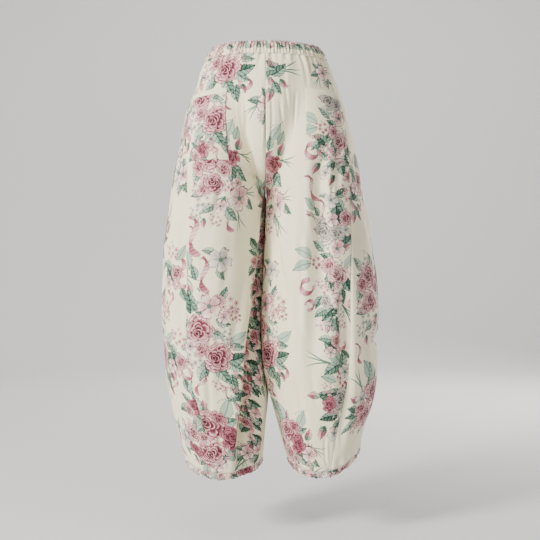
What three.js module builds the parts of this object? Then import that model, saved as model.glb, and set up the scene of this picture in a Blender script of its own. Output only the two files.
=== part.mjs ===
// Barrel leg trousers in the shape they have when worn: an elastic waist, full legs that swell round the
// knee and are drawn in again by elastic at the hems, and a patch pocket on each hip at the back.
//
// Millimetres, +Z up. The front faces -Y and the wearer's left leg is on the +X side. The origin is the
// middle of the waistband, where the wearer's waist holds the trousers. A "drop" is a distance below it.
//
// A leg is a stack of rings. An angle on a ring is in degrees: 0 is the inner leg, 90 the back, 180 the
// outer leg and 270 the front. Above the crotch the ring is open at the centre back (0) and the centre
// front (360).
import * as THREE from "three";

// ---- driving dimensions ----
const CLOTH = 1.6; // wall of every cut piece
const SEAM_GAP = 0.3; // between two pieces at a seam
const BAND_HEIGHT = 28; // elastic waist casing
const HEM_HEIGHT = 14; // elastic hem casing
const CROTCH_DROP = 306;
const HEM_DROP = 922;
const INSEAM_DEPTH = -5; // the inseam and the crotch point lie a little forward of the middle
const SEAT_REACH = 64; // degrees of the ring over which the pull of the seat seams fades
const SEAM_CURVE = { power: 4, turn: 0.5 }; // the seat seam's curve, which turns square at the crotch
const SIDE_CURVE = { power: 1.8, turn: 1.8 }; // the same away from the seam, even all the way

const WAIST_GATHERS = 20; // gathers of the waistband on each half
const PANEL_GATHERS = 10; // folds that run down from it on each half
const GATHER_HEIGHT = 2.2;
const BAND_SWELL = [0.4, 1.6, 0.6]; // how far the waistband stands out at its top, middle and bottom
const GATHER_FADE_DROP = 95;
const HEM_GATHERS = 18; // round each hem casing
const HEM_FOLDS = 9; // folds that run up from it
const HEM_GATHER_HEIGHT = 1.7;
const HEM_FADE_DROP = 862;

const BAND_TOP = -BAND_HEIGHT / 2;
const BAND_BOTTOM = BAND_HEIGHT / 2;
const HEM_TOP = HEM_DROP - HEM_HEIGHT;
const LEVEL_RUN = 30; // near the bands the cloth stands off level, over this much drop
const FULL_TURN = 360;

// Half widths and depths of each leg at each drop. outer and inner are distances from the centre line of the
// garment, back and front from its middle depth.
const LEFT_SECTIONS = [
  { drop: -14, outer: 122, inner: 0, back: 93, front: 89 },
  { drop: 14, outer: 136, inner: 0, back: 99, front: 94 },
  { drop: 40, outer: 148, inner: 0, back: 109, front: 101 },
  { drop: 80, outer: 161, inner: 0, back: 119, front: 108 },
  { drop: 120, outer: 178, inner: 0, back: 128, front: 113 },
  { drop: 160, outer: 187, inner: 0, back: 135, front: 116 },
  { drop: 200, outer: 195, inner: 0, back: 139, front: 118 },
  { drop: 240, outer: 203, inner: 0, back: 140, front: 119 },
  { drop: 306, outer: 213, inner: 0, back: 136, front: 119 },
  { drop: 318, outer: 214, inner: 2, back: 135, front: 119 },
  { drop: 380, outer: 225, inner: 4, back: 130, front: 119 },
  { drop: 440, outer: 232, inner: 6, back: 127, front: 120 },
  { drop: 500, outer: 234, inner: 9, back: 125, front: 121 },
  { drop: 560, outer: 235, inner: 11, back: 124, front: 122 },
  { drop: 620, outer: 234, inner: 11, back: 123, front: 122 },
  { drop: 680, outer: 230, inner: 7, back: 121, front: 120 },
  { drop: 740, outer: 224, inner: -2, back: 117, front: 115 },
  { drop: 790, outer: 213, inner: -4, back: 112, front: 109 },
  { drop: 830, outer: 203, inner: 0, back: 106, front: 102 },
  { drop: 870, outer: 193, inner: 4, back: 99, front: 96 },
  { drop: 900, outer: 184, inner: 8, back: 93, front: 90 },
  { drop: 922, outer: 178, inner: 10, back: 89, front: 86 },
];
const RIGHT_SECTIONS = [
  { drop: -14, outer: 122, inner: 0, back: 93, front: 89 },
  { drop: 14, outer: 137, inner: 0, back: 99, front: 94 },
  { drop: 40, outer: 150, inner: 0, back: 109, front: 101 },
  { drop: 80, outer: 166, inner: 0, back: 119, front: 108 },
  { drop: 120, outer: 180, inner: 0, back: 128, front: 113 },
  { drop: 160, outer: 190, inner: 0, back: 135, front: 116 },
  { drop: 200, outer: 200, inner: 0, back: 139, front: 118 },
  { drop: 240, outer: 209, inner: 0, back: 140, front: 119 },
  { drop: 306, outer: 220, inner: 0, back: 136, front: 119 },
  { drop: 318, outer: 222, inner: 2, back: 135, front: 119 },
  { drop: 380, outer: 233, inner: 1, back: 130, front: 119 },
  { drop: 440, outer: 243, inner: -1, back: 127, front: 120 },
  { drop: 500, outer: 251, inner: -4, back: 125, front: 121 },
  { drop: 560, outer: 254, inner: -6, back: 124, front: 122 },
  { drop: 620, outer: 254, inner: -6, back: 123, front: 122 },
  { drop: 680, outer: 253, inner: -2, back: 121, front: 120 },
  { drop: 740, outer: 251, inner: 8, back: 117, front: 115 },
  { drop: 790, outer: 242, inner: 16, back: 112, front: 109 },
  { drop: 830, outer: 230, inner: 27, back: 106, front: 102 },
  { drop: 870, outer: 221, inner: 37, back: 99, front: 96 },
  { drop: 900, outer: 215, inner: 46, back: 93, front: 90 },
  { drop: 922, outer: 211, inner: 53, back: 89, front: 86 },
];

// Where the side seam runs: it starts behind the hip and wanders further back towards the hem.
const SIDE_SEAM = [
  { drop: -14, angle: 142 },
  { drop: 120, angle: 140 },
  { drop: 258, angle: 133 },
  { drop: 380, angle: 125 },
  { drop: 500, angle: 118 },
  { drop: 680, angle: 117 },
  { drop: 790, angle: 110 },
  { drop: 870, angle: 101 },
  { drop: 922, angle: 96 },
];

// A fold follows its rows down the leg. height is negative for a trough; towards_inner and towards_outer
// are its half widths on the two sides, in degrees.
const LEFT_FOLDS = {
  inner_valley: [
    { drop: 330, angle: 12, height: 0, towards_inner: 9, towards_outer: 8 },
    { drop: 400, angle: 15, height: -14, towards_inner: 12, towards_outer: 10 },
    { drop: 500, angle: 20, height: -34, towards_inner: 17, towards_outer: 13 },
    { drop: 600, angle: 29, height: -44, towards_inner: 22, towards_outer: 15 },
    { drop: 700, angle: 39, height: -48, towards_inner: 26, towards_outer: 17 },
    { drop: 790, angle: 48, height: -44, towards_inner: 28, towards_outer: 18 },
    { drop: 850, angle: 53, height: -30, towards_inner: 28, towards_outer: 18 },
    { drop: 900, angle: 57, height: -12, towards_inner: 26, towards_outer: 18 },
    { drop: 922, angle: 58, height: -5, towards_inner: 24, towards_outer: 18 },
  ],
  seat_drag: [
    { drop: 90, angle: 34, height: 0, towards_inner: 14, towards_outer: 16 },
    { drop: 170, angle: 33, height: -7, towards_inner: 12, towards_outer: 14 },
    { drop: 260, angle: 27, height: -8, towards_inner: 9, towards_outer: 12 },
    { drop: 340, angle: 26, height: 0, towards_inner: 8, towards_outer: 12 },
  ],
  seam_edge: [
    { drop: 190, angle: 128, height: 0, towards_inner: 9, towards_outer: 12 },
    { drop: 300, angle: 127, height: -7, towards_inner: 8, towards_outer: 13 },
    { drop: 430, angle: 122, height: -9, towards_inner: 8, towards_outer: 14 },
    { drop: 560, angle: 121, height: -6, towards_inner: 8, towards_outer: 14 },
    { drop: 660, angle: 119, height: 0, towards_inner: 8, towards_outer: 14 },
  ],
  front_inner: [
    { drop: 300, angle: 322, height: 0, towards_inner: 12, towards_outer: 12 },
    { drop: 420, angle: 318, height: -12, towards_inner: 13, towards_outer: 14 },
    { drop: 600, angle: 308, height: -17, towards_inner: 14, towards_outer: 16 },
    { drop: 780, angle: 302, height: -10, towards_inner: 14, towards_outer: 16 },
    { drop: 890, angle: 300, height: 0, towards_inner: 14, towards_outer: 16 },
  ],
  front_outer: [
    { drop: 120, angle: 236, height: 0, towards_inner: 14, towards_outer: 12 },
    { drop: 280, angle: 238, height: -8, towards_inner: 15, towards_outer: 13 },
    { drop: 480, angle: 244, height: -13, towards_inner: 15, towards_outer: 13 },
    { drop: 700, angle: 247, height: -8, towards_inner: 15, towards_outer: 13 },
    { drop: 850, angle: 246, height: 0, towards_inner: 15, towards_outer: 13 },
  ],
};
const RIGHT_FOLDS = {
  back_trough: [
    { drop: 205, angle: 97, height: 0, towards_inner: 15, towards_outer: 11 },
    { drop: 270, angle: 95, height: -13, towards_inner: 17, towards_outer: 10 },
    { drop: 380, angle: 91, height: -19, towards_inner: 18, towards_outer: 12 },
    { drop: 520, angle: 87, height: -18, towards_inner: 17, towards_outer: 13 },
    { drop: 630, angle: 81, height: -11, towards_inner: 14, towards_outer: 13 },
    { drop: 720, angle: 78, height: 0, towards_inner: 12, towards_outer: 12 },
  ],
  seam_trough: [
    { drop: 440, angle: 112, height: 0, towards_inner: 11, towards_outer: 9 },
    { drop: 580, angle: 112, height: -11, towards_inner: 12, towards_outer: 9 },
    { drop: 720, angle: 112, height: -13, towards_inner: 13, towards_outer: 10 },
    { drop: 820, angle: 110, height: -6, towards_inner: 13, towards_outer: 10 },
    { drop: 880, angle: 108, height: 0, towards_inner: 12, towards_outer: 10 },
  ],
  crotch_drag: [
    { drop: 300, angle: 21, height: 0, towards_inner: 8, towards_outer: 8 },
    { drop: 380, angle: 29, height: -8, towards_inner: 9, towards_outer: 9 },
    { drop: 480, angle: 41, height: -9, towards_inner: 10, towards_outer: 9 },
    { drop: 583, angle: 51, height: -6, towards_inner: 10, towards_outer: 9 },
    { drop: 660, angle: 55, height: 0, towards_inner: 10, towards_outer: 9 },
  ],
  pocket_drop: [
    { drop: 70, angle: 118, height: 0, towards_inner: 10, towards_outer: 9 },
    { drop: 150, angle: 121, height: -6, towards_inner: 9, towards_outer: 8 },
    { drop: 240, angle: 117, height: -9, towards_inner: 9, towards_outer: 8 },
    { drop: 340, angle: 107, height: 0, towards_inner: 9, towards_outer: 8 },
  ],
  front_inner: [
    { drop: 300, angle: 326, height: 0, towards_inner: 12, towards_outer: 12 },
    { drop: 430, angle: 319, height: -11, towards_inner: 13, towards_outer: 14 },
    { drop: 600, angle: 311, height: -15, towards_inner: 14, towards_outer: 16 },
    { drop: 760, angle: 304, height: -9, towards_inner: 14, towards_outer: 16 },
    { drop: 880, angle: 301, height: 0, towards_inner: 14, towards_outer: 16 },
  ],
  front_outer: [
    { drop: 150, angle: 232, height: 0, towards_inner: 14, towards_outer: 12 },
    { drop: 330, angle: 236, height: -9, towards_inner: 15, towards_outer: 13 },
    { drop: 540, angle: 240, height: -12, towards_inner: 15, towards_outer: 13 },
    { drop: 740, angle: 244, height: -7, towards_inner: 15, towards_outer: 13 },
    { drop: 860, angle: 245, height: 0, towards_inner: 15, towards_outer: 13 },
  ],
};

// side is +1 for the wearer's left. inseam_turn is how far the inseam has come round to the back at the hem.
// hem_back and hem_outer are how much lower the hem hangs there than at the inner leg.
const LEFT_LEG = {
  name: "left",
  side: 1,
  sections: LEFT_SECTIONS,
  folds: Object.values(LEFT_FOLDS),
  inseam_turn: 18,
  hem_back: 17,
  hem_outer: 0,
};
const RIGHT_LEG = {
  name: "right",
  side: -1,
  sections: RIGHT_SECTIONS,
  folds: Object.values(RIGHT_FOLDS),
  inseam_turn: 8,
  hem_back: 20,
  hem_outer: -30,
};
const LEGS = [LEFT_LEG, RIGHT_LEG];

// The dent that the outer silhouette of the right leg has below the knee.
const KNEE_DENT = { leg: "right", drop: 638, angle: 182, height: -9, half_drop: 26, half_angle: 38 };
const HEM_SAG_START = 760;
const INSEAM_TURN_END = 470;

// Where the inner edge of a pocket runs. The columns of the back panel follow it.
const POCKET_EDGE = [
  { drop: 14, angle: 62 },
  { drop: 92, angle: 66 },
  { drop: 250, angle: 73 },
  { drop: 420, angle: 62 },
  { drop: 922, angle: 44 },
];
// Patch pockets on the back panels, each caught in the side seam.
const POCKET = {
  top_at_seam: 100,
  top_at_inner: 92,
  lowest: 250,
  wall: 1.4,
  mouth_lift: 0.8,
  mouth_gape: 2.4,
  mouth_height: 30,
  hem_height: 12,
  hem_wall: 0.8,
  hem_step: 0.5,
};

// Rows and columns of the panel meshes. The rows are closer at the waist, the crotch and the hem.
const PANEL_DROPS = [
  14.3, 30, 52, 82, 118, 158, 204, 250, 270, 284, 296, 303, 306, 312, 330, 362, 405, 450, 498, 546, 594,
  640, 690, 740, 790, 835, 870, 893, 907.5,
];
const BACK_COLUMNS = 18;
const POCKET_COLUMN = 8; // of the back panel, counted from the centre back
const FRONT_COLUMNS = 24;
const GATHER_STEPS = 4; // mesh steps in one gather of a band

// ---- curves through the tables ----

// A smooth curve through one column of a table, by cubic pieces between its rows.
function along(rows, name, drop) {
  const last = rows.length - 1;
  if (drop <= rows[0].drop) return rows[0][name];
  if (drop >= rows[last].drop) return rows[last][name];
  let i = 0;
  while (rows[i + 1].drop < drop) i += 1;
  const slope = (k) => {
    const a = rows[Math.max(k - 1, 0)];
    const b = rows[Math.min(k + 1, last)];
    return (b[name] - a[name]) / (b.drop - a.drop);
  };
  const span = rows[i + 1].drop - rows[i].drop;
  const t = (drop - rows[i].drop) / span;
  const rise = t * t * (3 - 2 * t);
  return (
    rows[i][name] * (1 - rise) +
    rows[i + 1][name] * rise +
    span * (t * (1 - t) * (1 - t) * slope(i) - t * t * (1 - t) * slope(i + 1))
  );
}

function smooth(t) {
  const c = Math.min(Math.max(t, 0), 1);
  return c * c * (3 - 2 * c);
}

// How far a ring has turned from half of the hips' oval, 0, into the leg's own oval, 1. At the centre seams
// it follows the curve of the seat, which turns sharply under the crotch. Away from them it goes evenly.
function legShare(angle, drop) {
  const fall = Math.min(Math.max(drop / CROTCH_DROP, 0), 1);
  const away = smooth(Math.min(angle, FULL_TURN - angle) / SEAT_REACH);
  const curve = THREE.MathUtils.lerp(SEAM_CURVE.power, SIDE_CURVE.power, away);
  const turn = THREE.MathUtils.lerp(SEAM_CURVE.turn, SIDE_CURVE.turn, away);
  return 1 - (1 - fall ** curve) ** turn;
}

function inseamAngle(leg, drop) {
  return leg.inseam_turn * smooth((drop - CROTCH_DROP) / (INSEAM_TURN_END - CROTCH_DROP));
}

function sideSeamAngle(drop) {
  return along(SIDE_SEAM, "angle", drop);
}

// ---- the draped form ----

// How much lower than its drop the cloth hangs near the hem.
function hemSag(leg, angle, drop) {
  const turn = THREE.MathUtils.degToRad(angle);
  const back = leg.hem_back * Math.max(Math.sin(turn), 0) ** 2;
  const outer = leg.hem_outer * ((1 - Math.cos(turn)) / 2) ** 2;
  return (back + outer) * smooth((drop - HEM_SAG_START) / (HEM_DROP - HEM_SAG_START));
}

// A point of a leg before its folds: half of the hips' oval above, the leg's own oval below.
function plainPoint(leg, angle, drop) {
  const outer = along(leg.sections, "outer", drop);
  const inner = along(leg.sections, "inner", drop);
  const back = along(leg.sections, "back", drop);
  const front = along(leg.sections, "front", drop);
  const turn = THREE.MathUtils.degToRad(angle);
  const mix = legShare(angle, drop);

  const hipsX = outer * Math.sin(turn / 2);
  const hipsY = Math.cos(turn / 2) * (angle < FULL_TURN / 2 ? back : front);
  const legX = (outer + inner) / 2 - ((outer - inner) / 2) * Math.cos(turn);
  const sine = Math.sin(turn);
  const legY = INSEAM_DEPTH + sine * (sine > 0 ? back - INSEAM_DEPTH : front + INSEAM_DEPTH);

  const x = SEAM_GAP / 2 + hipsX * (1 - mix) + legX * mix;
  const y = hipsY * (1 - mix) + legY * mix;
  return new THREE.Vector3(leg.side * x, y, -drop - hemSag(leg, angle, drop));
}

// The height of one fold at a point: a soft bump across the ring, which may lie over the inseam.
function foldHeight(rows, angle, drop) {
  if (drop <= rows[0].drop || drop > rows[rows.length - 1].drop) return 0;
  const halfTurn = FULL_TURN / 2;
  const off = ((angle - along(rows, "angle", drop) + FULL_TURN + halfTurn) % FULL_TURN) - halfTurn;
  const half = along(rows, off < 0 ? "towards_inner" : "towards_outer", drop);
  const t = off / half;
  return Math.abs(t) < 1 ? along(rows, "height", drop) * (1 - t * t) ** 2 : 0;
}

function foldsHeight(leg, angle, drop) {
  return leg.folds.reduce((sum, rows) => sum + foldHeight(rows, angle, drop), 0);
}

function dentHeight(leg, angle, drop) {
  if (leg.name !== KNEE_DENT.leg) return 0;
  const across = (drop - KNEE_DENT.drop) / KNEE_DENT.half_drop;
  const round = (angle - KNEE_DENT.angle) / KNEE_DENT.half_angle;
  if (Math.abs(across) >= 1 || Math.abs(round) >= 1) return 0;
  return KNEE_DENT.height * (1 - across * across) ** 2 * (1 - round * round);
}

function gatherWave(angle, count) {
  return Math.cos(THREE.MathUtils.degToRad(angle * count));
}

// Everything that stands off the plain form, along its normal.
function relief(leg, angle, drop) {
  const waist = 1 - smooth((drop - BAND_BOTTOM) / (GATHER_FADE_DROP - BAND_BOTTOM));
  const hem = smooth((drop - HEM_FADE_DROP) / (HEM_TOP - HEM_FADE_DROP));
  return (
    foldsHeight(leg, angle, drop) +
    dentHeight(leg, angle, drop) +
    GATHER_HEIGHT * waist * gatherWave(angle, PANEL_GATHERS) +
    HEM_GATHER_HEIGHT * hem * gatherWave(angle, HEM_FOLDS)
  );
}

// The outward normal of a surface given by a function of angle and drop.
function normalOf(surface, leg, angle, drop) {
  const turn = 0.4;
  const down = 1.5;
  const round = surface(leg, angle + turn, drop).sub(surface(leg, angle - turn, drop));
  const fall = surface(leg, angle, drop + down).sub(surface(leg, angle, drop - down));
  return round.cross(fall).multiplyScalar(leg.side).normalize();
}

// Angles just outside 0 to 360 are mirrored in the centre seams above the crotch, and go round the leg
// below it.
function plainSurface(leg, angle, drop) {
  if (drop >= CROTCH_DROP) return plainPoint(leg, (angle + FULL_TURN) % FULL_TURN, drop);
  if (angle >= 0 && angle <= FULL_TURN) return plainPoint(leg, angle, drop);
  const inside = plainPoint(leg, angle < 0 ? -angle : 2 * FULL_TURN - angle, drop);
  return inside.set(-inside.x, inside.y, inside.z);
}

// Turns a normal level near the two bands, so that what stands off a panel doesn't rise or drop into them.
function levelled(outward, drop) {
  const belowBand = smooth((drop - BAND_BOTTOM - SEAM_GAP) / LEVEL_RUN);
  const aboveHem = smooth((HEM_TOP - SEAM_GAP - drop) / LEVEL_RUN);
  outward.z *= belowBand * aboveHem;
  return outward.normalize();
}

function clothSurface(leg, angle, drop) {
  const outward = levelled(normalOf(plainSurface, leg, angle, drop), drop);
  return plainSurface(leg, angle, drop).addScaledVector(outward, relief(leg, angle, drop));
}

// A point of the cloth, moved out from its face by a distance.
function clothPoint(leg, angle, drop, out) {
  const edge = 0.45; // keeps the differences of the normal inside the piece
  const within = drop < CROTCH_DROP ? Math.min(Math.max(angle, edge), FULL_TURN - edge) : angle;
  const outward = levelled(normalOf(clothSurface, leg, within, drop), drop);
  const point = clothSurface(leg, angle, drop).addScaledVector(outward, out);
  if (drop <= CROTCH_DROP && leg.side * point.x < SEAM_GAP / 2) point.x = (leg.side * SEAM_GAP) / 2;
  return point;
}

// ---- closed walls ----

// A closed wall from a grid of outer points and a grid of inner points, given row by row. A ring's last
// column joins its first.
function wall(outer, inner, isRing) {
  const rows = outer.length;
  const columns = outer[0].length;
  const positions = [...outer.flat(), ...inner.flat()].flatMap((p) => p.toArray());
  const at = (layer, row, column) => (layer * rows + row) * columns + (column % columns);
  const index = [];
  const quad = (a, b, c, d) => index.push(a, b, c, a, c, d);
  const steps = isRing ? columns : columns - 1;
  for (let c = 0; c < steps; c += 1) {
    for (let r = 0; r + 1 < rows; r += 1) {
      quad(at(0, r, c), at(0, r + 1, c), at(0, r + 1, c + 1), at(0, r, c + 1));
      quad(at(1, r, c), at(1, r, c + 1), at(1, r + 1, c + 1), at(1, r + 1, c));
    }
    quad(at(0, 0, c), at(0, 0, c + 1), at(1, 0, c + 1), at(1, 0, c));
    quad(at(0, rows - 1, c), at(1, rows - 1, c), at(1, rows - 1, c + 1), at(0, rows - 1, c + 1));
  }
  for (let r = 0; r + 1 < rows && !isRing; r += 1) {
    quad(at(0, r, 0), at(1, r, 0), at(1, r + 1, 0), at(0, r + 1, 0));
    quad(at(0, r, steps), at(0, r + 1, steps), at(1, r + 1, steps), at(1, r, steps));
  }
  const geometry = new THREE.BufferGeometry();
  geometry.setAttribute("position", new THREE.Float32BufferAttribute(positions, 3));
  geometry.setIndex(index);
  return facingOut(geometry);
}

// Turns the faces round if they point inwards, as they do where a ring runs the other way.
function facingOut(geometry) {
  const place = geometry.getAttribute("position");
  const index = geometry.getIndex().array;
  const corner = (i) => new THREE.Vector3().fromBufferAttribute(place, index[i]);
  let volume = 0;
  for (let i = 0; i < index.length; i += 3) {
    volume += corner(i).dot(corner(i + 1).cross(corner(i + 2)));
  }
  if (volume < 0) geometry.setIndex(Array.from(index).reverse());
  geometry.computeVertexNormals();
  return geometry;
}

function steps(count) {
  return Array.from({ length: count + 1 }, (_, i) => i / count);
}

// Degrees of the ring that cover half a seam gap at a point.
function halfGapTurn(leg, angle, drop) {
  const probe = 0.5;
  const length = plainSurface(leg, angle + probe, drop).distanceTo(plainSurface(leg, angle - probe, drop));
  return ((SEAM_GAP / 2) * 2 * probe) / length;
}

function evenly(from, to, count) {
  return steps(count).map((t) => THREE.MathUtils.lerp(from, to, t));
}

// The angles of one row of a panel. It ends half a gap short of each seam that it shares on its own leg. The
// centre seams keep their gap by the shift of each half from the centre line.
function backAngles(leg, drop) {
  const seam = inseamAngle(leg, drop);
  const start = drop < CROTCH_DROP ? seam : seam + halfGapTurn(leg, seam, drop);
  const side = sideSeamAngle(drop);
  const end = side - halfGapTurn(leg, side, drop);
  const pocketEdge = along(POCKET_EDGE, "angle", drop);
  const inner = evenly(start, pocketEdge, POCKET_COLUMN);
  return [...inner, ...evenly(pocketEdge, end, BACK_COLUMNS - POCKET_COLUMN).slice(1)];
}

function frontAngles(leg, drop) {
  const side = sideSeamAngle(drop);
  const start = side + halfGapTurn(leg, side, drop);
  const seam = FULL_TURN + inseamAngle(leg, drop);
  const end = drop < CROTCH_DROP ? seam : seam - halfGapTurn(leg, seam, drop);
  return evenly(start, end, FRONT_COLUMNS);
}

// The points of a panel, row by row, moved out from its face by a distance.
function panelGrid(leg, angles, out) {
  return PANEL_DROPS.map((drop) => angles(leg, drop).map((angle) => clothPoint(leg, angle, drop, out)));
}

function panel(leg, angles) {
  return wall(panelGrid(leg, angles, 0), panelGrid(leg, angles, -CLOTH), false);
}

// ---- bands ----

// The waistband goes round the left half from back to front and returns round the right half. It swells
// round the elastic between its two edges.
function waistband() {
  const rows = [BAND_TOP, (BAND_TOP + BAND_BOTTOM) / 2, BAND_BOTTOM];
  const half = steps(WAIST_GATHERS * GATHER_STEPS).slice(0, -1);
  const turns = [
    ...half.map((t) => ({ leg: LEFT_LEG, angle: t * FULL_TURN })),
    ...half.map((t) => ({ leg: RIGHT_LEG, angle: FULL_TURN - t * FULL_TURN })),
  ];
  const grid = (out) =>
    rows.map((drop, row) =>
      turns.map(({ leg, angle }) => {
        const onSeam = angle === 0 || angle === FULL_TURN;
        const outward = onSeam
          ? new THREE.Vector3(0, angle === 0 ? 1 : -1, 0)
          : normalOf(plainSurface, leg, angle, drop).setZ(0).normalize();
        const point = plainSurface(leg, angle, drop);
        if (onSeam) point.x = 0;
        const height = GATHER_HEIGHT * gatherWave(angle, WAIST_GATHERS) + BAND_SWELL[row];
        return point.addScaledVector(outward, height + out);
      }),
    );
  return wall(grid(0), grid(-CLOTH), true);
}

function hemBand(leg) {
  const rows = [HEM_TOP, HEM_DROP];
  const around = steps(HEM_GATHERS * GATHER_STEPS).slice(0, -1);
  const grid = (out) =>
    rows.map((drop) =>
      around.map((t) => {
        const angle = t * FULL_TURN;
        const outward = normalOf(plainSurface, leg, angle, drop).setZ(0).normalize();
        const height = foldsHeight(leg, angle, drop) + HEM_GATHER_HEIGHT * gatherWave(angle, HEM_GATHERS);
        return plainSurface(leg, angle, drop).addScaledVector(outward, height + out);
      }),
    );
  return wall(grid(0), grid(-CLOTH), true);
}

// ---- pockets ----

// A point between the points of a panel's grid.
function betweenPoints(grid, drop, column) {
  const r = Math.max(PANEL_DROPS.findLastIndex((row) => row <= drop), 0);
  const c = Math.min(Math.floor(column), grid[r].length - 2);
  const fall = (drop - PANEL_DROPS[r]) / (PANEL_DROPS[r + 1] - PANEL_DROPS[r]);
  const upper = grid[r][c].clone().lerp(grid[r][c + 1], column - c);
  const lower = grid[r + 1][c].clone().lerp(grid[r + 1][c + 1], column - c);
  return upper.lerp(lower, fall);
}

// A pocket lies on the facets of the back panel, from the side seam inwards. Its mouth stands a little off
// the panel, and its wall is thicker where the mouth is hemmed.
function pocket(leg) {
  const under = panelGrid(leg, backAngles, SEAM_GAP);
  const over = panelGrid(leg, backAngles, SEAM_GAP + POCKET.wall);
  const columns = evenly(POCKET_COLUMN, BACK_COLUMNS, BACK_COLUMNS - POCKET_COLUMN);
  const shareAt = (column) => (column - POCKET_COLUMN) / (BACK_COLUMNS - POCKET_COLUMN);
  const topAt = (column) => THREE.MathUtils.lerp(POCKET.top_at_inner, POCKET.top_at_seam, shareAt(column));
  const firstInside = POCKET.top_at_seam + POCKET.hem_height;
  const inside = PANEL_DROPS.filter((drop) => drop > firstInside && drop <= POCKET.lowest);
  const dropsAt = (column) => {
    const top = topAt(column);
    const hem = top + POCKET.hem_height;
    return [top, hem - POCKET.hem_step, hem, ...inside];
  };
  const hemRows = 2;
  const grid = (isOuter) =>
    dropsAt(0).map((_, row) =>
      columns.map((column) => {
        const drop = dropsAt(column)[row];
        const low = betweenPoints(under, drop, column);
        const high = betweenPoints(over, drop, column);
        const outward = high.clone().sub(low).normalize();
        const opened = 1 - smooth((drop - topAt(column)) / POCKET.mouth_height);
        const gape = opened * (POCKET.mouth_lift + POCKET.mouth_gape * Math.sin(Math.PI * shareAt(column)));
        const hem = isOuter && row < hemRows ? POCKET.hem_wall : 0;
        return (isOuter ? high : low).addScaledVector(outward, gape + hem);
      }),
    );
  return wall(grid(true), grid(false), false);
}

// ---- the garment ----

function cotton(color, roughness) {
  return () => new THREE.MeshStandardMaterial({ color, roughness, metalness: 0 });
}

const legCotton = cotton(0xe6e3d6, 0.85);
const pocketCotton = cotton(0xd8c3bd, 0.85);
const gatheredCotton = cotton(0xc9c6b8, 0.88);

const trousers = new THREE.Group();

function addPiece(name, geometry, finish) {
  const piece = new THREE.Mesh(geometry, finish());
  piece.name = name;
  trousers.add(piece);
}

addPiece("waistband", waistband(), gatheredCotton);
LEGS.forEach((leg) => {
  addPiece(`${leg.name}_back`, panel(leg, backAngles), legCotton);
  addPiece(`${leg.name}_front`, panel(leg, frontAngles), legCotton);
  addPiece(`${leg.name}_hem_band`, hemBand(leg), gatheredCotton);
  addPiece(`${leg.name}_pocket`, pocket(leg), pocketCotton);
});

export default trousers;
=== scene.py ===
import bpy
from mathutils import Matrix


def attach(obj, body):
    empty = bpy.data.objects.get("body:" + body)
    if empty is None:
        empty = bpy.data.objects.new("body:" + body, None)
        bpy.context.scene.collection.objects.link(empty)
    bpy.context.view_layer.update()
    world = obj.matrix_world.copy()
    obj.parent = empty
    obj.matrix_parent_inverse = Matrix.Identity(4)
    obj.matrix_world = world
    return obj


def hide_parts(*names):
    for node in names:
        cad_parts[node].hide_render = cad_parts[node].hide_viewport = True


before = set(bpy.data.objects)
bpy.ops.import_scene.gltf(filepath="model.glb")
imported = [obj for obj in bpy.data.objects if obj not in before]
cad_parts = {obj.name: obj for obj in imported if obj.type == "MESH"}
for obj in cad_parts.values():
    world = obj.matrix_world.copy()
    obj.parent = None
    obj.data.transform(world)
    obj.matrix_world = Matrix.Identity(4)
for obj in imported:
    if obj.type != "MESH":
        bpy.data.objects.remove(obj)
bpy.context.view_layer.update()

"""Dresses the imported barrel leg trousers: cotton panels with a floral print, gathers, creases and stitching.

The panels are drawn again by the rules of their cut, so that each lies on its own solid. A leg is a
stack of rings. An angle on a ring is in degrees: 0 is the inner leg, 90 the back, 180 the outer leg and
270 the front. A drop is a distance below the middle of the waistband, in millimetres.
"""

import ast
import logging
import math
from dataclasses import dataclass
from enum import Enum
from typing import Callable, Iterable, NamedTuple, Sequence

import bpy
import numpy as np
from bpy.types import Material, Node, NodeSocket, NodeTree, Object

LOG = logging.getLogger("trousers")

MM = 0.001  # metres in a millimetre

# ---- driving dimensions, in millimetres ----
CLOTH = 0.7  # wall of the cotton as drawn
SEAM_GAP = 0.3  # between the solids at a seam
SEEN_GAP = 0.12  # between the pieces as drawn
BAND_HEIGHT = 28.0
HEM_HEIGHT = 14.0
CROTCH_DROP = 306.0
HEM_DROP = 922.0
INSEAM_DEPTH = -5.0  # the inseam's place from back to front, of which the back is the positive side
SEAT_REACH = 64.0  # degrees from the inner leg over which the seat's curve changes
WAIST_GATHERS = 20  # sharp ones below the waistband, on each half
WAIST_GATHER_DEPTH = 3.6
PANEL_GATHERS = 10  # soft ones, also on each half
GATHER_HEIGHT = 2.2
GATHER_FADE_DROP = 95.0
HEM_GATHERS = 18  # sharp ones above each hem casing
HEM_GATHER_DEPTH = 3.3
HEM_FOLDS = 9  # soft ones
HEM_GATHER_HEIGHT = 1.7
HEM_FADE_DROP = 862.0
LEVEL_RUN = 30.0  # the folds stand out level at the bands, and square to the cloth this far from them
HEM_SAG_START = 760.0
INSEAM_TURN_END = 470.0
DENT_DROP = 638.0  # the middle of the dent below the knee
DENT_HALF_HEIGHT = 26.0
DENT_ANGLE = 182.0
DENT_HALF_TURN = 38.0
UNEVENNESS = 0.7
FULL_TURN = 360.0
HALF_TURN = FULL_TURN / 2
SEAM_CLEARANCE = 0.45  # degrees from the centre seam within which the normals are read further out
BAND_TOP = -BAND_HEIGHT / 2
BAND_BOTTOM = BAND_HEIGHT / 2
HEM_TOP = HEM_DROP - HEM_HEIGHT


class Section(NamedTuple):
    """Half widths and depths of a leg at a drop, from the garment's centre line and middle depth."""

    drop: float
    outer: float
    inner: float
    back: float
    front: float


class Fold(NamedTuple):
    """A row of a fold that follows the leg down. A trough has a negative height."""

    drop: float
    angle: float
    height: float
    towards_inner: float
    towards_outer: float


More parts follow.
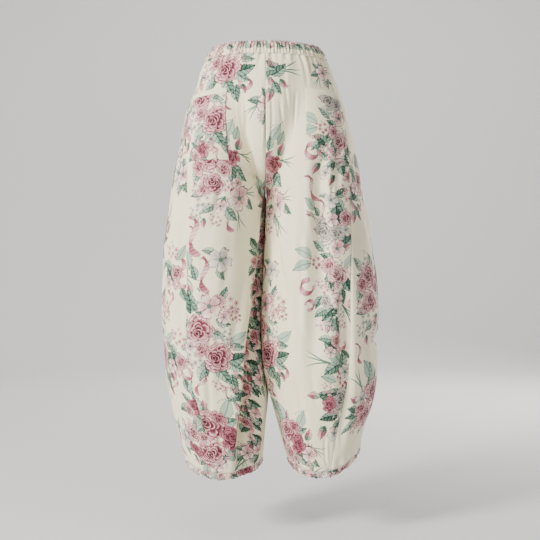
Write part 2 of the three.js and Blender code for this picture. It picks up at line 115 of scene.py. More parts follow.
class Turn(NamedTuple):
    """Where a line that runs down a leg is at a drop."""

    drop: float
    angle: float


class Crease(NamedTuple):
    """A soft crease between two places on a leg. Its depth and half width are in millimetres."""

    angle_a: float
    drop_a: float
    angle_b: float
    drop_b: float
    depth: float
    width: float


def table(kind: type, *rows: tuple) -> tuple:
    """Makes the rows of a table."""
    return tuple(kind(*row) for row in rows)


LEFT_SECTIONS = table(
    Section, (-14, 122, 0, 93, 89), (14, 136, 0, 99, 94), (40, 148, 0, 109, 101), (80, 161, 0, 119, 108),
    (120, 178, 0, 128, 113), (160, 187, 0, 135, 116), (200, 195, 0, 139, 118), (240, 203, 0, 140, 119),
    (306, 213, 0, 136, 119), (318, 214, 2, 135, 119), (380, 225, 4, 130, 119), (440, 232, 6, 127, 120),
    (500, 234, 9, 125, 121), (560, 235, 11, 124, 122), (620, 234, 11, 123, 122), (680, 230, 7, 121, 120),
    (740, 224, -2, 117, 115), (790, 213, -4, 112, 109), (830, 203, 0, 106, 102), (870, 193, 4, 99, 96),
    (900, 184, 8, 93, 90), (922, 178, 10, 89, 86),
)
RIGHT_SECTIONS = table(
    Section, (-14, 122, 0, 93, 89), (14, 137, 0, 99, 94), (40, 150, 0, 109, 101), (80, 166, 0, 119, 108),
    (120, 180, 0, 128, 113), (160, 190, 0, 135, 116), (200, 200, 0, 139, 118), (240, 209, 0, 140, 119),
    (306, 220, 0, 136, 119), (318, 222, 2, 135, 119), (380, 233, 1, 130, 119), (440, 243, -1, 127, 120),
    (500, 251, -4, 125, 121), (560, 254, -6, 124, 122), (620, 254, -6, 123, 122), (680, 253, -2, 121, 120),
    (740, 251, 8, 117, 115), (790, 242, 16, 112, 109), (830, 230, 27, 106, 102), (870, 221, 37, 99, 96),
    (900, 215, 46, 93, 90), (922, 211, 53, 89, 86),
)
SIDE_SEAM = table(
    Turn, (-14, 142), (120, 140), (258, 133), (380, 125), (500, 118), (680, 117), (790, 110), (870, 101),
    (922, 96),
)
POCKET_EDGE = table(Turn, (14, 62), (92, 66), (250, 73), (420, 62), (922, 44))

LEFT_FOLDS = {
    "inner_lip": table(
        Fold, (340, 27, 0, 8, 12), (420, 31, 3.5, 8, 13), (520, 37, 6, 8, 14), (620, 48, 7, 9, 14),
        (720, 60, 7, 9, 14), (820, 70, 6, 9, 13), (900, 76, 0, 9, 12),
    ),
    "inner_depth": table(
        Fold, (350, 15, 0, 9, 8), (430, 19, -8, 10, 9), (540, 28, -13, 12, 9), (640, 38, -15, 14, 9),
        (760, 50, -14, 16, 9), (850, 58, -10, 16, 9), (910, 62, 0, 14, 9),
    ),
    "slack_at_inseam": table(
        Fold, (306, 344, 0, 14, 13), (322, 344, 7, 14, 13), (420, 343, 8.5, 15, 14), (600, 344, 8.5, 14, 13),
        (730, 344, 8, 14, 13), (800, 345, 0, 14, 13),
    ),
    "inner_valley": table(
        Fold, (330, 12, 0, 9, 8), (400, 15, -14, 12, 10), (500, 20, -34, 17, 13), (600, 29, -44, 22, 15),
        (700, 39, -48, 26, 17), (790, 48, -44, 28, 18), (850, 53, -30, 28, 18), (900, 57, -12, 26, 18),
        (922, 58, -5, 24, 18),
    ),
    "seat_drag": table(
        Fold, (90, 34, 0, 14, 16), (170, 33, -7, 12, 14), (260, 27, -8, 9, 12), (340, 26, 0, 8, 12),
    ),
    "seam_edge": table(
        Fold, (190, 128, 0, 9, 12), (300, 127, -7, 8, 13), (430, 122, -9, 8, 14), (560, 121, -6, 8, 14),
        (660, 119, 0, 8, 14),
    ),
    "front_inner": table(
        Fold, (300, 322, 0, 12, 12), (420, 318, -12, 13, 14), (600, 308, -17, 14, 16),
        (780, 302, -10, 14, 16), (890, 300, 0, 14, 16),
    ),
    "front_outer": table(
        Fold, (120, 236, 0, 14, 12), (280, 238, -8, 15, 13), (480, 244, -13, 15, 13), (700, 247, -8, 15, 13),
        (850, 246, 0, 15, 13),
    ),
}
RIGHT_FOLDS = {
    "slack_at_inseam": table(
        Fold, (306, 15, 0, 12, 12), (322, 15, 5.5, 12, 12), (420, 14, 6.5, 12, 12), (600, 15, 7, 12, 12),
        (740, 15, 8.5, 13, 13), (810, 16, 0, 13, 13),
    ),
    "back_trough": table(
        Fold, (205, 97, 0, 15, 11), (270, 95, -13, 17, 10), (380, 91, -19, 18, 12), (520, 87, -18, 17, 13),
        (630, 81, -11, 14, 13), (720, 78, 0, 12, 12),
    ),
    "seam_trough": table(
        Fold, (440, 112, 0, 11, 9), (580, 112, -11, 12, 9), (720, 112, -13, 13, 10), (820, 110, -6, 13, 10),
        (880, 108, 0, 12, 10),
    ),
    "crotch_drag": table(
        Fold, (300, 21, 0, 8, 8), (380, 29, -8, 9, 9), (480, 41, -9, 10, 9), (583, 51, -6, 10, 9),
        (660, 55, 0, 10, 9),
    ),
    "pocket_drop": table(
        Fold, (70, 118, 0, 10, 9), (150, 121, -6, 9, 8), (240, 117, -9, 9, 8), (340, 107, 0, 9, 8),
    ),
    "front_inner": table(
        Fold, (300, 326, 0, 12, 12), (430, 319, -11, 13, 14), (600, 311, -15, 14, 16),
        (760, 304, -9, 14, 16), (880, 301, 0, 14, 16),
    ),
    "front_outer": table(
        Fold, (150, 232, 0, 14, 12), (330, 236, -9, 15, 13), (540, 240, -12, 15, 13), (740, 244, -7, 15, 13),
        (860, 245, 0, 15, 13),
    ),
}

# Small creases over the main folds: drags from the crotch, slack under the seat, breaks at the knee
# and the hem.
LEFT_CREASES = table(
    Crease, (4.5, 60, 5, 268, 2.6, 4), (12, 286, 70, 246, 3.0, 6), (18, 338, 40, 250, 3.2, 7),
    (40, 330, 44, 440, 2.4, 8), (58, 340, 60, 470, 2.2, 9), (88, 300, 92, 420, 2.4, 9),
    (60, 560, 70, 690, 2.6, 9), (96, 690, 104, 830, 2.8, 7), (14, 300, 52, 225, 3, 6),
    (12, 322, 46, 272, 3.4, 5), (16, 350, 60, 318, 2.3, 7), (30, 120, 38, 205, 2.7, 6),
    (54, 250, 66, 330, 2.3, 8), (84, 262, 88, 372, 2.5, 8), (100, 250, 104, 340, 1.9, 7),
    (72, 420, 78, 560, 2.1, 9), (96, 470, 100, 640, 2.3, 10), (80, 640, 88, 760, 2.3, 8),
    (108, 560, 112, 700, 1.9, 8), (66, 780, 72, 890, 2.7, 5), (90, 820, 92, 900, 2.5, 5),
    (150, 180, 156, 330, 2.8, 10), (172, 260, 168, 440, 2.7, 11), (196, 200, 200, 360, 3, 10),
    (160, 480, 166, 640, 2.7, 10), (205, 520, 200, 700, 3, 11), (226, 700, 222, 830, 2.8, 8),
    (348, 300, 308, 228, 3.2, 6), (350, 322, 318, 276, 3, 5), (346, 350, 300, 322, 2.5, 7),
    (270, 240, 266, 380, 2.7, 10), (285, 460, 280, 640, 2.8, 10), (262, 600, 268, 780, 2.8, 9),
    (330, 640, 326, 790, 2.5, 8), (345, 440, 342, 560, 2.3, 8), (140, 800, 150, 880, 2.7, 6),
    (180, 790, 184, 890, 2.3, 6),
)
RIGHT_CREASES = table(
    Crease, (3.5, 250, 3.5, 60, 1.8, 4), (36, 350, 40, 470, 3.4, 4), (40, 450, 48, 650, 3.2, 5),
    (30, 60, 34, 150, 1.8, 5), (58, 340, 62, 500, 2.2, 8), (70, 380, 74, 560, 2.4, 7),
    (14, 262, 70, 236, 2.6, 6), (60, 700, 72, 840, 2.8, 7), (12, 296, 44, 222, 2.8, 6),
    (12, 318, 40, 262, 3.2, 5), (20, 110, 26, 180, 1.9, 5), (48, 90, 52, 190, 2.3, 7),
    (60, 255, 70, 345, 2.1, 8), (104, 262, 100, 330, 3, 5), (112, 270, 103, 352, 2.7, 5),
    (74, 300, 80, 470, 2.3, 8), (66, 520, 72, 660, 2.5, 8), (96, 560, 92, 700, 2.3, 7),
    (76, 690, 84, 800, 2.5, 7), (56, 780, 62, 886, 2.5, 6), (90, 830, 92, 904, 3.4, 4),
    (104, 800, 106, 880, 2.3, 5), (150, 200, 152, 350, 2.7, 10), (170, 300, 176, 470, 2.8, 11),
    (192, 180, 196, 330, 2.8, 10), (155, 560, 150, 690, 2.5, 9), (200, 500, 206, 690, 3, 11),
    (222, 690, 228, 820, 2.8, 8), (348, 302, 306, 236, 3, 6), (350, 326, 320, 282, 3.2, 5),
    (268, 260, 272, 400, 2.7, 10), (286, 480, 290, 650, 2.8, 10), (258, 620, 262, 770, 2.7, 9),
    (332, 560, 330, 720, 2.5, 8), (344, 700, 346, 800, 2.3, 8), (130, 760, 136, 860, 2.7, 7),
    (176, 800, 178, 880, 2.3, 6),
)

# How far down each gather of the waist runs, and how strong it is. The gathers take these in turn.
GATHER_RUNS = (44, 78, 30, 96, 52, 36, 118, 60, 28, 84, 40, 66, 104)
GATHER_STRENGTHS = (1.0, 0.7, 1.3, 0.8, 1.1, 0.6, 1.2, 0.9, 0.75, 1.15, 0.85)
HEM_RUNS = (34, 52, 22, 60, 40, 28, 46)


def along(rows: Sequence, name: str, drop: np.ndarray) -> np.ndarray:
    """Reads a smooth curve through one column of a table.

    Args:
        rows: rows with a drop, from the top down.
        name: the column to read.
        drop: drops to read it at.

    Returns:
        The column's value at each drop.
    """
    at = np.array([row.drop for row in rows], float)
    value = np.array([getattr(row, name) for row in rows], float)
    slope = np.empty(len(at))
    slope[1:-1] = (value[2:] - value[:-2]) / (at[2:] - at[:-2])
    slope[0] = (value[1] - value[0]) / (at[1] - at[0])
    slope[-1] = (value[-1] - value[-2]) / (at[-1] - at[-2])
    within = np.clip(drop, at[0], at[-1])
    i = np.clip(np.searchsorted(at, within, side="right") - 1, 0, len(at) - 2)
    span = at[i + 1] - at[i]
    t = (within - at[i]) / span
    rise = t * t * (3 - 2 * t)
    bend = t * (1 - t) * (1 - t) * slope[i] - t * t * (1 - t) * slope[i + 1]
    return value[i] * (1 - rise) + value[i + 1] * rise + span * bend


def smooth(t: np.ndarray) -> np.ndarray:
    """Goes softly from 0 to 1 as t does."""
    c = np.clip(t, 0.0, 1.0)
    return c * c * (3 - 2 * c)


def unit(vectors: np.ndarray) -> np.ndarray:
    """Scales vectors to length 1."""
    return vectors / np.maximum(np.linalg.norm(vectors, axis=-1, keepdims=True), 1e-9)


@dataclass(frozen=True)
class Leg:
    """One half of the trousers, from the waist to the hem.

    side is 1 for the wearer's left and -1 for the right. inseam_turn is how far the inseam turns round
    the leg below the crotch, in degrees. hem_back and hem_outer are how much lower the hem hangs at the
    back and at the outer leg, and knee_dent is the height of the dent below the knee, in millimetres.
    """

    name: str
    side: int
    sections: Sequence[Section]
    folds: dict[str, Sequence[Fold]]
    creases: Sequence[Crease]
    inseam_turn: float
    hem_back: float
    hem_outer: float
    knee_dent: float = 0.0

    def inseam(self, drop: np.ndarray) -> np.ndarray:
        """The angle of the inseam at each drop."""
        return self.inseam_turn * smooth((drop - CROTCH_DROP) / (INSEAM_TURN_END - CROTCH_DROP))

    def plain_point(self, angle: np.ndarray, drop: np.ndarray) -> np.ndarray:
        """Points of the leg before its folds.

        Args:
            angle: degrees, 0 to 360.
            drop: millimetres.

        Returns:
            Points in millimetres, with one more axis than the angles.
        """
        outer, inner, back, front = (
            along(self.sections, name, drop) for name in ("outer", "inner", "back", "front")
        )
        turn = np.radians(angle)
        fall = np.clip(drop / CROTCH_DROP, 0, 1)
        away = smooth(np.minimum(angle, FULL_TURN - angle) / SEAT_REACH)
        power = 4 + (1.8 - 4) * away
        curl = 0.5 + (1.8 - 0.5) * away
        mix = 1 - (1 - fall**power) ** curl

        hips_x = outer * np.sin(turn / 2)
        hips_y = np.cos(turn / 2) * np.where(angle < HALF_TURN, back, front)
        leg_x = (outer + inner) / 2 - (outer - inner) / 2 * np.cos(turn)
        sine = np.sin(turn)
        leg_y = INSEAM_DEPTH + sine * np.where(sine > 0, back - INSEAM_DEPTH, front + INSEAM_DEPTH)
        x = SEAM_GAP / 2 + hips_x * (1 - mix) + leg_x * mix
        y = hips_y * (1 - mix) + leg_y * mix

        back_sag = self.hem_back * np.maximum(sine, 0) ** 2
        outer_sag = self.hem_outer * ((1 - np.cos(turn)) / 2) ** 2
        sag = (back_sag + outer_sag) * smooth((drop - HEM_SAG_START) / (HEM_DROP - HEM_SAG_START))
        return np.stack([self.side * x, y, -drop - sag], axis=-1)

    def plain(self, angle: np.ndarray, drop: np.ndarray) -> np.ndarray:
        """As plain_point, with angles outside the ring mirrored above the crotch and wrapped below.

        Args:
            angle: degrees, also outside 0 to 360.
            drop: millimetres.

        Returns:
            Points in millimetres.
        """
        angle, drop = np.broadcast_arrays(np.asarray(angle, float), np.asarray(drop, float))
        below = drop >= CROTCH_DROP
        mirrored = ~below & ((angle < 0) | (angle > FULL_TURN))
        folded = np.where(angle < 0, -angle, np.where(angle > FULL_TURN, 2 * FULL_TURN - angle, angle))
        point = self.plain_point(np.where(below, np.mod(angle, FULL_TURN), folded), drop)
        point[..., 0] = np.where(mirrored, -point[..., 0], point[..., 0])
        return point

    def normal(self, surface: Callable, angle: np.ndarray, drop: np.ndarray) -> np.ndarray:
        """The outward normals of a surface of the leg.

        Args:
            surface: gives its points for angles and drops.
            angle: degrees.
            drop: millimetres.

        Returns:
            Vectors of length 1.
        """
        turn, down = 0.4, 1.5
        around = surface(angle + turn, drop) - surface(angle - turn, drop)
        fall = surface(angle, drop + down) - surface(angle, drop - down)
        outward = unit(np.cross(around, fall) * self.side)
        level = smooth((drop - BAND_BOTTOM - SEAM_GAP) / LEVEL_RUN)
        level = level * smooth((HEM_TOP - SEAM_GAP - drop) / LEVEL_RUN)
        outward[..., 2] *= level
        return unit(outward)

    def level_normal(self, angle: np.ndarray, drop: np.ndarray) -> np.ndarray:
        """The outward normals of the plain leg, laid level.

        Args:
            angle: degrees.
            drop: millimetres.

        Returns:
            Vectors of length 1.
        """
        outward = self.normal(self.plain, angle, drop)
        outward[..., 2] = 0
        return unit(outward)

    def fold_height(self, angle: np.ndarray, drop: np.ndarray) -> np.ndarray:
        """The height of the main folds.

        Args:
            angle: degrees.
            drop: millimetres.

        Returns:
            Millimetres out from the plain leg.
        """
        total = np.zeros(np.broadcast(angle, drop).shape)
        for rows in self.folds.values():
            off = angle - along(rows, "angle", drop) + FULL_TURN + HALF_TURN
            off = np.mod(off, FULL_TURN) - HALF_TURN
            half = np.where(off < 0, along(rows, "towards_inner", drop), along(rows, "towards_outer", drop))
            t = np.clip(off / half, -1, 1)
            live = (drop > rows[0].drop) & (drop <= rows[-1].drop)
            total += np.where(live, along(rows, "height", drop) * (1 - t * t) ** 2, 0)
        return total

    def dent_height(self, angle: np.ndarray, drop: np.ndarray) -> np.ndarray:
        """The height of the dent below the knee.

        Args:
            angle: degrees.
            drop: millimetres.

        Returns:
            Millimetres out from the plain leg.
        """
        across = np.clip((drop - DENT_DROP) / DENT_HALF_HEIGHT, -1, 1)
        around = np.clip((angle - DENT_ANGLE) / DENT_HALF_TURN, -1, 1)
        return self.knee_dent * (1 - across**2) ** 2 * (1 - around**2)

    def crease_height(self, angle: np.ndarray, drop: np.ndarray) -> np.ndarray:
        """The height of the small creases, each a trough with a low ridge along one side.

        Args:
            angle: degrees.
            drop: millimetres.

        Returns:
            Millimetres out from the plain leg.
        """
        total = np.zeros(np.broadcast(angle, drop).shape)
        per_degree = 2.0  # millimetres round the leg
        for crease in self.creases:
            a = np.array([crease.angle_a * per_degree, crease.drop_a])
            b = np.array([crease.angle_b * per_degree, crease.drop_b])
            length = np.hypot(*(b - a))
            way = (b - a) / length
            dx, dy = angle * per_degree - a[0], drop - a[1]
            run = (dx * way[0] + dy * way[1]) / length
            bow = 0.05 * length * np.sin(math.pi * np.clip(run, 0, 1))
            off = (dx * way[1] - dy * way[0] + bow) / crease.width
            ends = smooth(run / 0.35) * smooth((1 - run) / 0.45)
            total += crease.depth * ends * (0.55 * np.exp(-((off - 1.5) ** 2)) - np.exp(-(off**2)))
        return total

    def gathers(self, angle: np.ndarray, drop: np.ndarray) -> np.ndarray:
        """The height of the gathers below the waistband and above the hem casing.

        Args:
            angle: degrees.
            drop: millimetres.

        Returns:
            Millimetres out from the plain leg.
        """
        wave = np.cos(np.radians(angle * PANEL_GATHERS))
        fade = 1 - smooth((drop - BAND_BOTTOM) / (GATHER_FADE_DROP - BAND_BOTTOM))
        total = GATHER_HEIGHT * 0.55 * fade * wave
        pitch = FULL_TURN / WAIST_GATHERS
        for i in range(WAIST_GATHERS):
            run = GATHER_RUNS[i % len(GATHER_RUNS)]
            strength = GATHER_STRENGTHS[i % len(GATHER_STRENGTHS)]
            wander = 0.28 * math.sin(2.4 * i)
            lean = 0.16 * np.sin((drop - BAND_BOTTOM) / 30 + 2 * i)
            off = (angle - (i + 0.5 + wander + lean) * pitch) / (0.2 * pitch)
            fall = np.clip(1 - (drop - BAND_BOTTOM) / run, 0, 1) ** 1.2
            ridge = 0.5 * np.exp(-((off - 1.7) ** 2)) + 0.3 * np.exp(-((off + 1.8) ** 2))
            total = total + WAIST_GATHER_DEPTH * strength * fall * (ridge - np.exp(-(off**2)))
        hem = smooth((drop - HEM_FADE_DROP) / (HEM_TOP - HEM_FADE_DROP))
        total = total + HEM_GATHER_HEIGHT * 0.6 * hem * np.cos(np.radians(angle * HEM_FOLDS))
        pitch = FULL_TURN / HEM_GATHERS
        for i in range(HEM_GATHERS):
            run = HEM_RUNS[i % len(HEM_RUNS)]
            strength = GATHER_STRENGTHS[(i + 4) % len(GATHER_STRENGTHS)]
            off = angle - (i + 0.5 + 0.25 * math.sin(1.9 * i)) * pitch + HALF_TURN
            off = np.mod(off, FULL_TURN) - HALF_TURN
            fall = np.clip(1 - (HEM_TOP - drop) / run, 0, 1) ** 1.4
            off = off / (0.22 * pitch)
            ridge = 0.45 * np.exp(-((off - 1.7) ** 2))
            total = total + HEM_GATHER_DEPTH * strength * fall * (ridge - np.exp(-(off**2)))
        return total

    def unevenness(self, angle: np.ndarray, drop: np.ndarray) -> np.ndarray:
        """A slow unevenness of worn cotton that hangs free, longer down the leg than across.

        Args:
            angle: degrees.
            drop: millimetres.

        Returns:
            Millimetres out from the plain leg.
        """
        shift = 1.3 * self.side
        turn = np.radians(angle)
        slow = np.sin(5 * turn + drop / 83 + shift) + 0.7 * np.sin(9 * turn - drop / 61 + 2 * shift)
        quick = 0.5 * np.sin(14 * turn + drop / 37 + shift) + 0.35 * np.sin(3 * turn + drop / 23 - shift)
        ripple = np.sin(23 * turn - drop / 29 + 2 * np.sin(drop / 90 + shift))
        quick = quick + 0.45 * ripple * np.sin(drop / 71 + turn)
        open_cloth = smooth((drop - 60) / 120) * smooth((HEM_TOP - drop) / 60)
        return UNEVENNESS * (slow + quick) * open_cloth

    def cloth(self, angle: np.ndarray, drop: np.ndarray) -> np.ndarray:
        """Points of the leg with all its folds, gathers and creases.

        Args:
            angle: degrees.
            drop: millimetres.

        Returns:
            Points in millimetres.
        """
        height = self.fold_height(angle, drop) + self.dent_height(angle, drop)
        height = height + self.gathers(angle, drop) + self.crease_height(angle, drop)
        height = height + self.unevenness(angle, drop)
        outward = self.normal(self.plain, angle, drop)
        return self.plain(angle, drop) + outward * height[..., None]

    def outward(self, angle: np.ndarray, drop: np.ndarray) -> np.ndarray:
        """The outward normals of the finished cloth.

        Args:
            angle: degrees.
            drop: millimetres.

        Returns:
            Vectors of length 1.
        """
        clear = np.clip(angle, SEAM_CLEARANCE, FULL_TURN - SEAM_CLEARANCE)
        within = np.where(drop < CROTCH_DROP, clear, angle)
        return self.normal(self.cloth, within, drop)

    def points(self, angle: np.ndarray, drop: np.ndarray, out: np.ndarray) -> np.ndarray:
        """Points of the cloth moved out from its face.

        Args:
            angle: degrees.
            drop: millimetres.
            out: millimetres out from the face.

        Returns:
            Points in millimetres.
        """
        point = self.cloth(angle, drop) + self.outward(angle, drop) * np.asarray(out)[..., None]
        near = (drop <= CROTCH_DROP) & (self.side * point[..., 0] < SEEN_GAP / 2)
        point[..., 0] = np.where(near, self.side * SEEN_GAP / 2, point[..., 0])
        return point


LEFT_LEG = Leg("left", 1, LEFT_SECTIONS, LEFT_FOLDS, LEFT_CREASES, 18, 17, 0)
RIGHT_LEG = Leg("right", -1, RIGHT_SECTIONS, RIGHT_FOLDS, RIGHT_CREASES, 8, 20, -30, knee_dent=-9.0)


# ---- the print ----


class Motif(Enum):
    """What a stamp of the print draws.

    Each motif names the screen that prints it, its number on that screen, and how far it reaches from its
    middle along its length and across it, in its own half lengths.
    """

    RIBBON = ("trail", 0, 1.02, 0.52)
    GRASS = ("trail", 1, 1.02, 0.74)
    LOOP = ("trail", 2, 0.92, 0.92)
    DOTS = ("trail", 3, 1.0, 0.36)
    LEAF = ("leaf", 0, 1.02, 0.66)
    BUD = ("leaf", 1, 1.02, 0.56)
    FLORETS = ("floret", 0, 1.06, 1.06)
    ROSE = ("bloom", 0, 1.1, 1.1)
    BLOSSOM = ("bloom", 1, 1.1, 1.1)

    def __init__(self, screen: str, number: int, half_length: float, half_width: float) -> None:
        """Keeps the parts of the value by name."""
        self.screen, self.number = screen, number
        self.half_length, self.half_width = half_length, half_width


class Stamp(NamedTuple):
    """One motif of a bouquet.

    x goes right and y down from the bouquet's middle, and size is half the motif's length, all three in
    millimetres. turn is clockwise. tone goes from 0, dark, to 1, pale leaves or grey flowers.
    """

    motif: Motif
    x: float
    y: float
    size: float
    turn: float
    tone: float


# How many layers each screen has, in the order in which they are printed.
LAYERS = {"trail": 2, "leaf": 3, "floret": 3, "bloom": 3}
NOWHERE = 9.0  # a place that no motif reaches

RIBBON, GRASS, LOOP, DOTS = Motif.RIBBON, Motif.GRASS, Motif.LOOP, Motif.DOTS
LEAF, BUD, FLORETS, ROSE, BLOSSOM = Motif.LEAF, Motif.BUD, Motif.FLORETS, Motif.ROSE, Motif.BLOSSOM


def stamps(*runs: tuple) -> tuple[Stamp, ...]:
    """Makes a bouquet's stamps, of which each run names a motif and says where its stamps lie."""
    return tuple(Stamp(motif, *row) for motif, *rows in runs for row in rows)


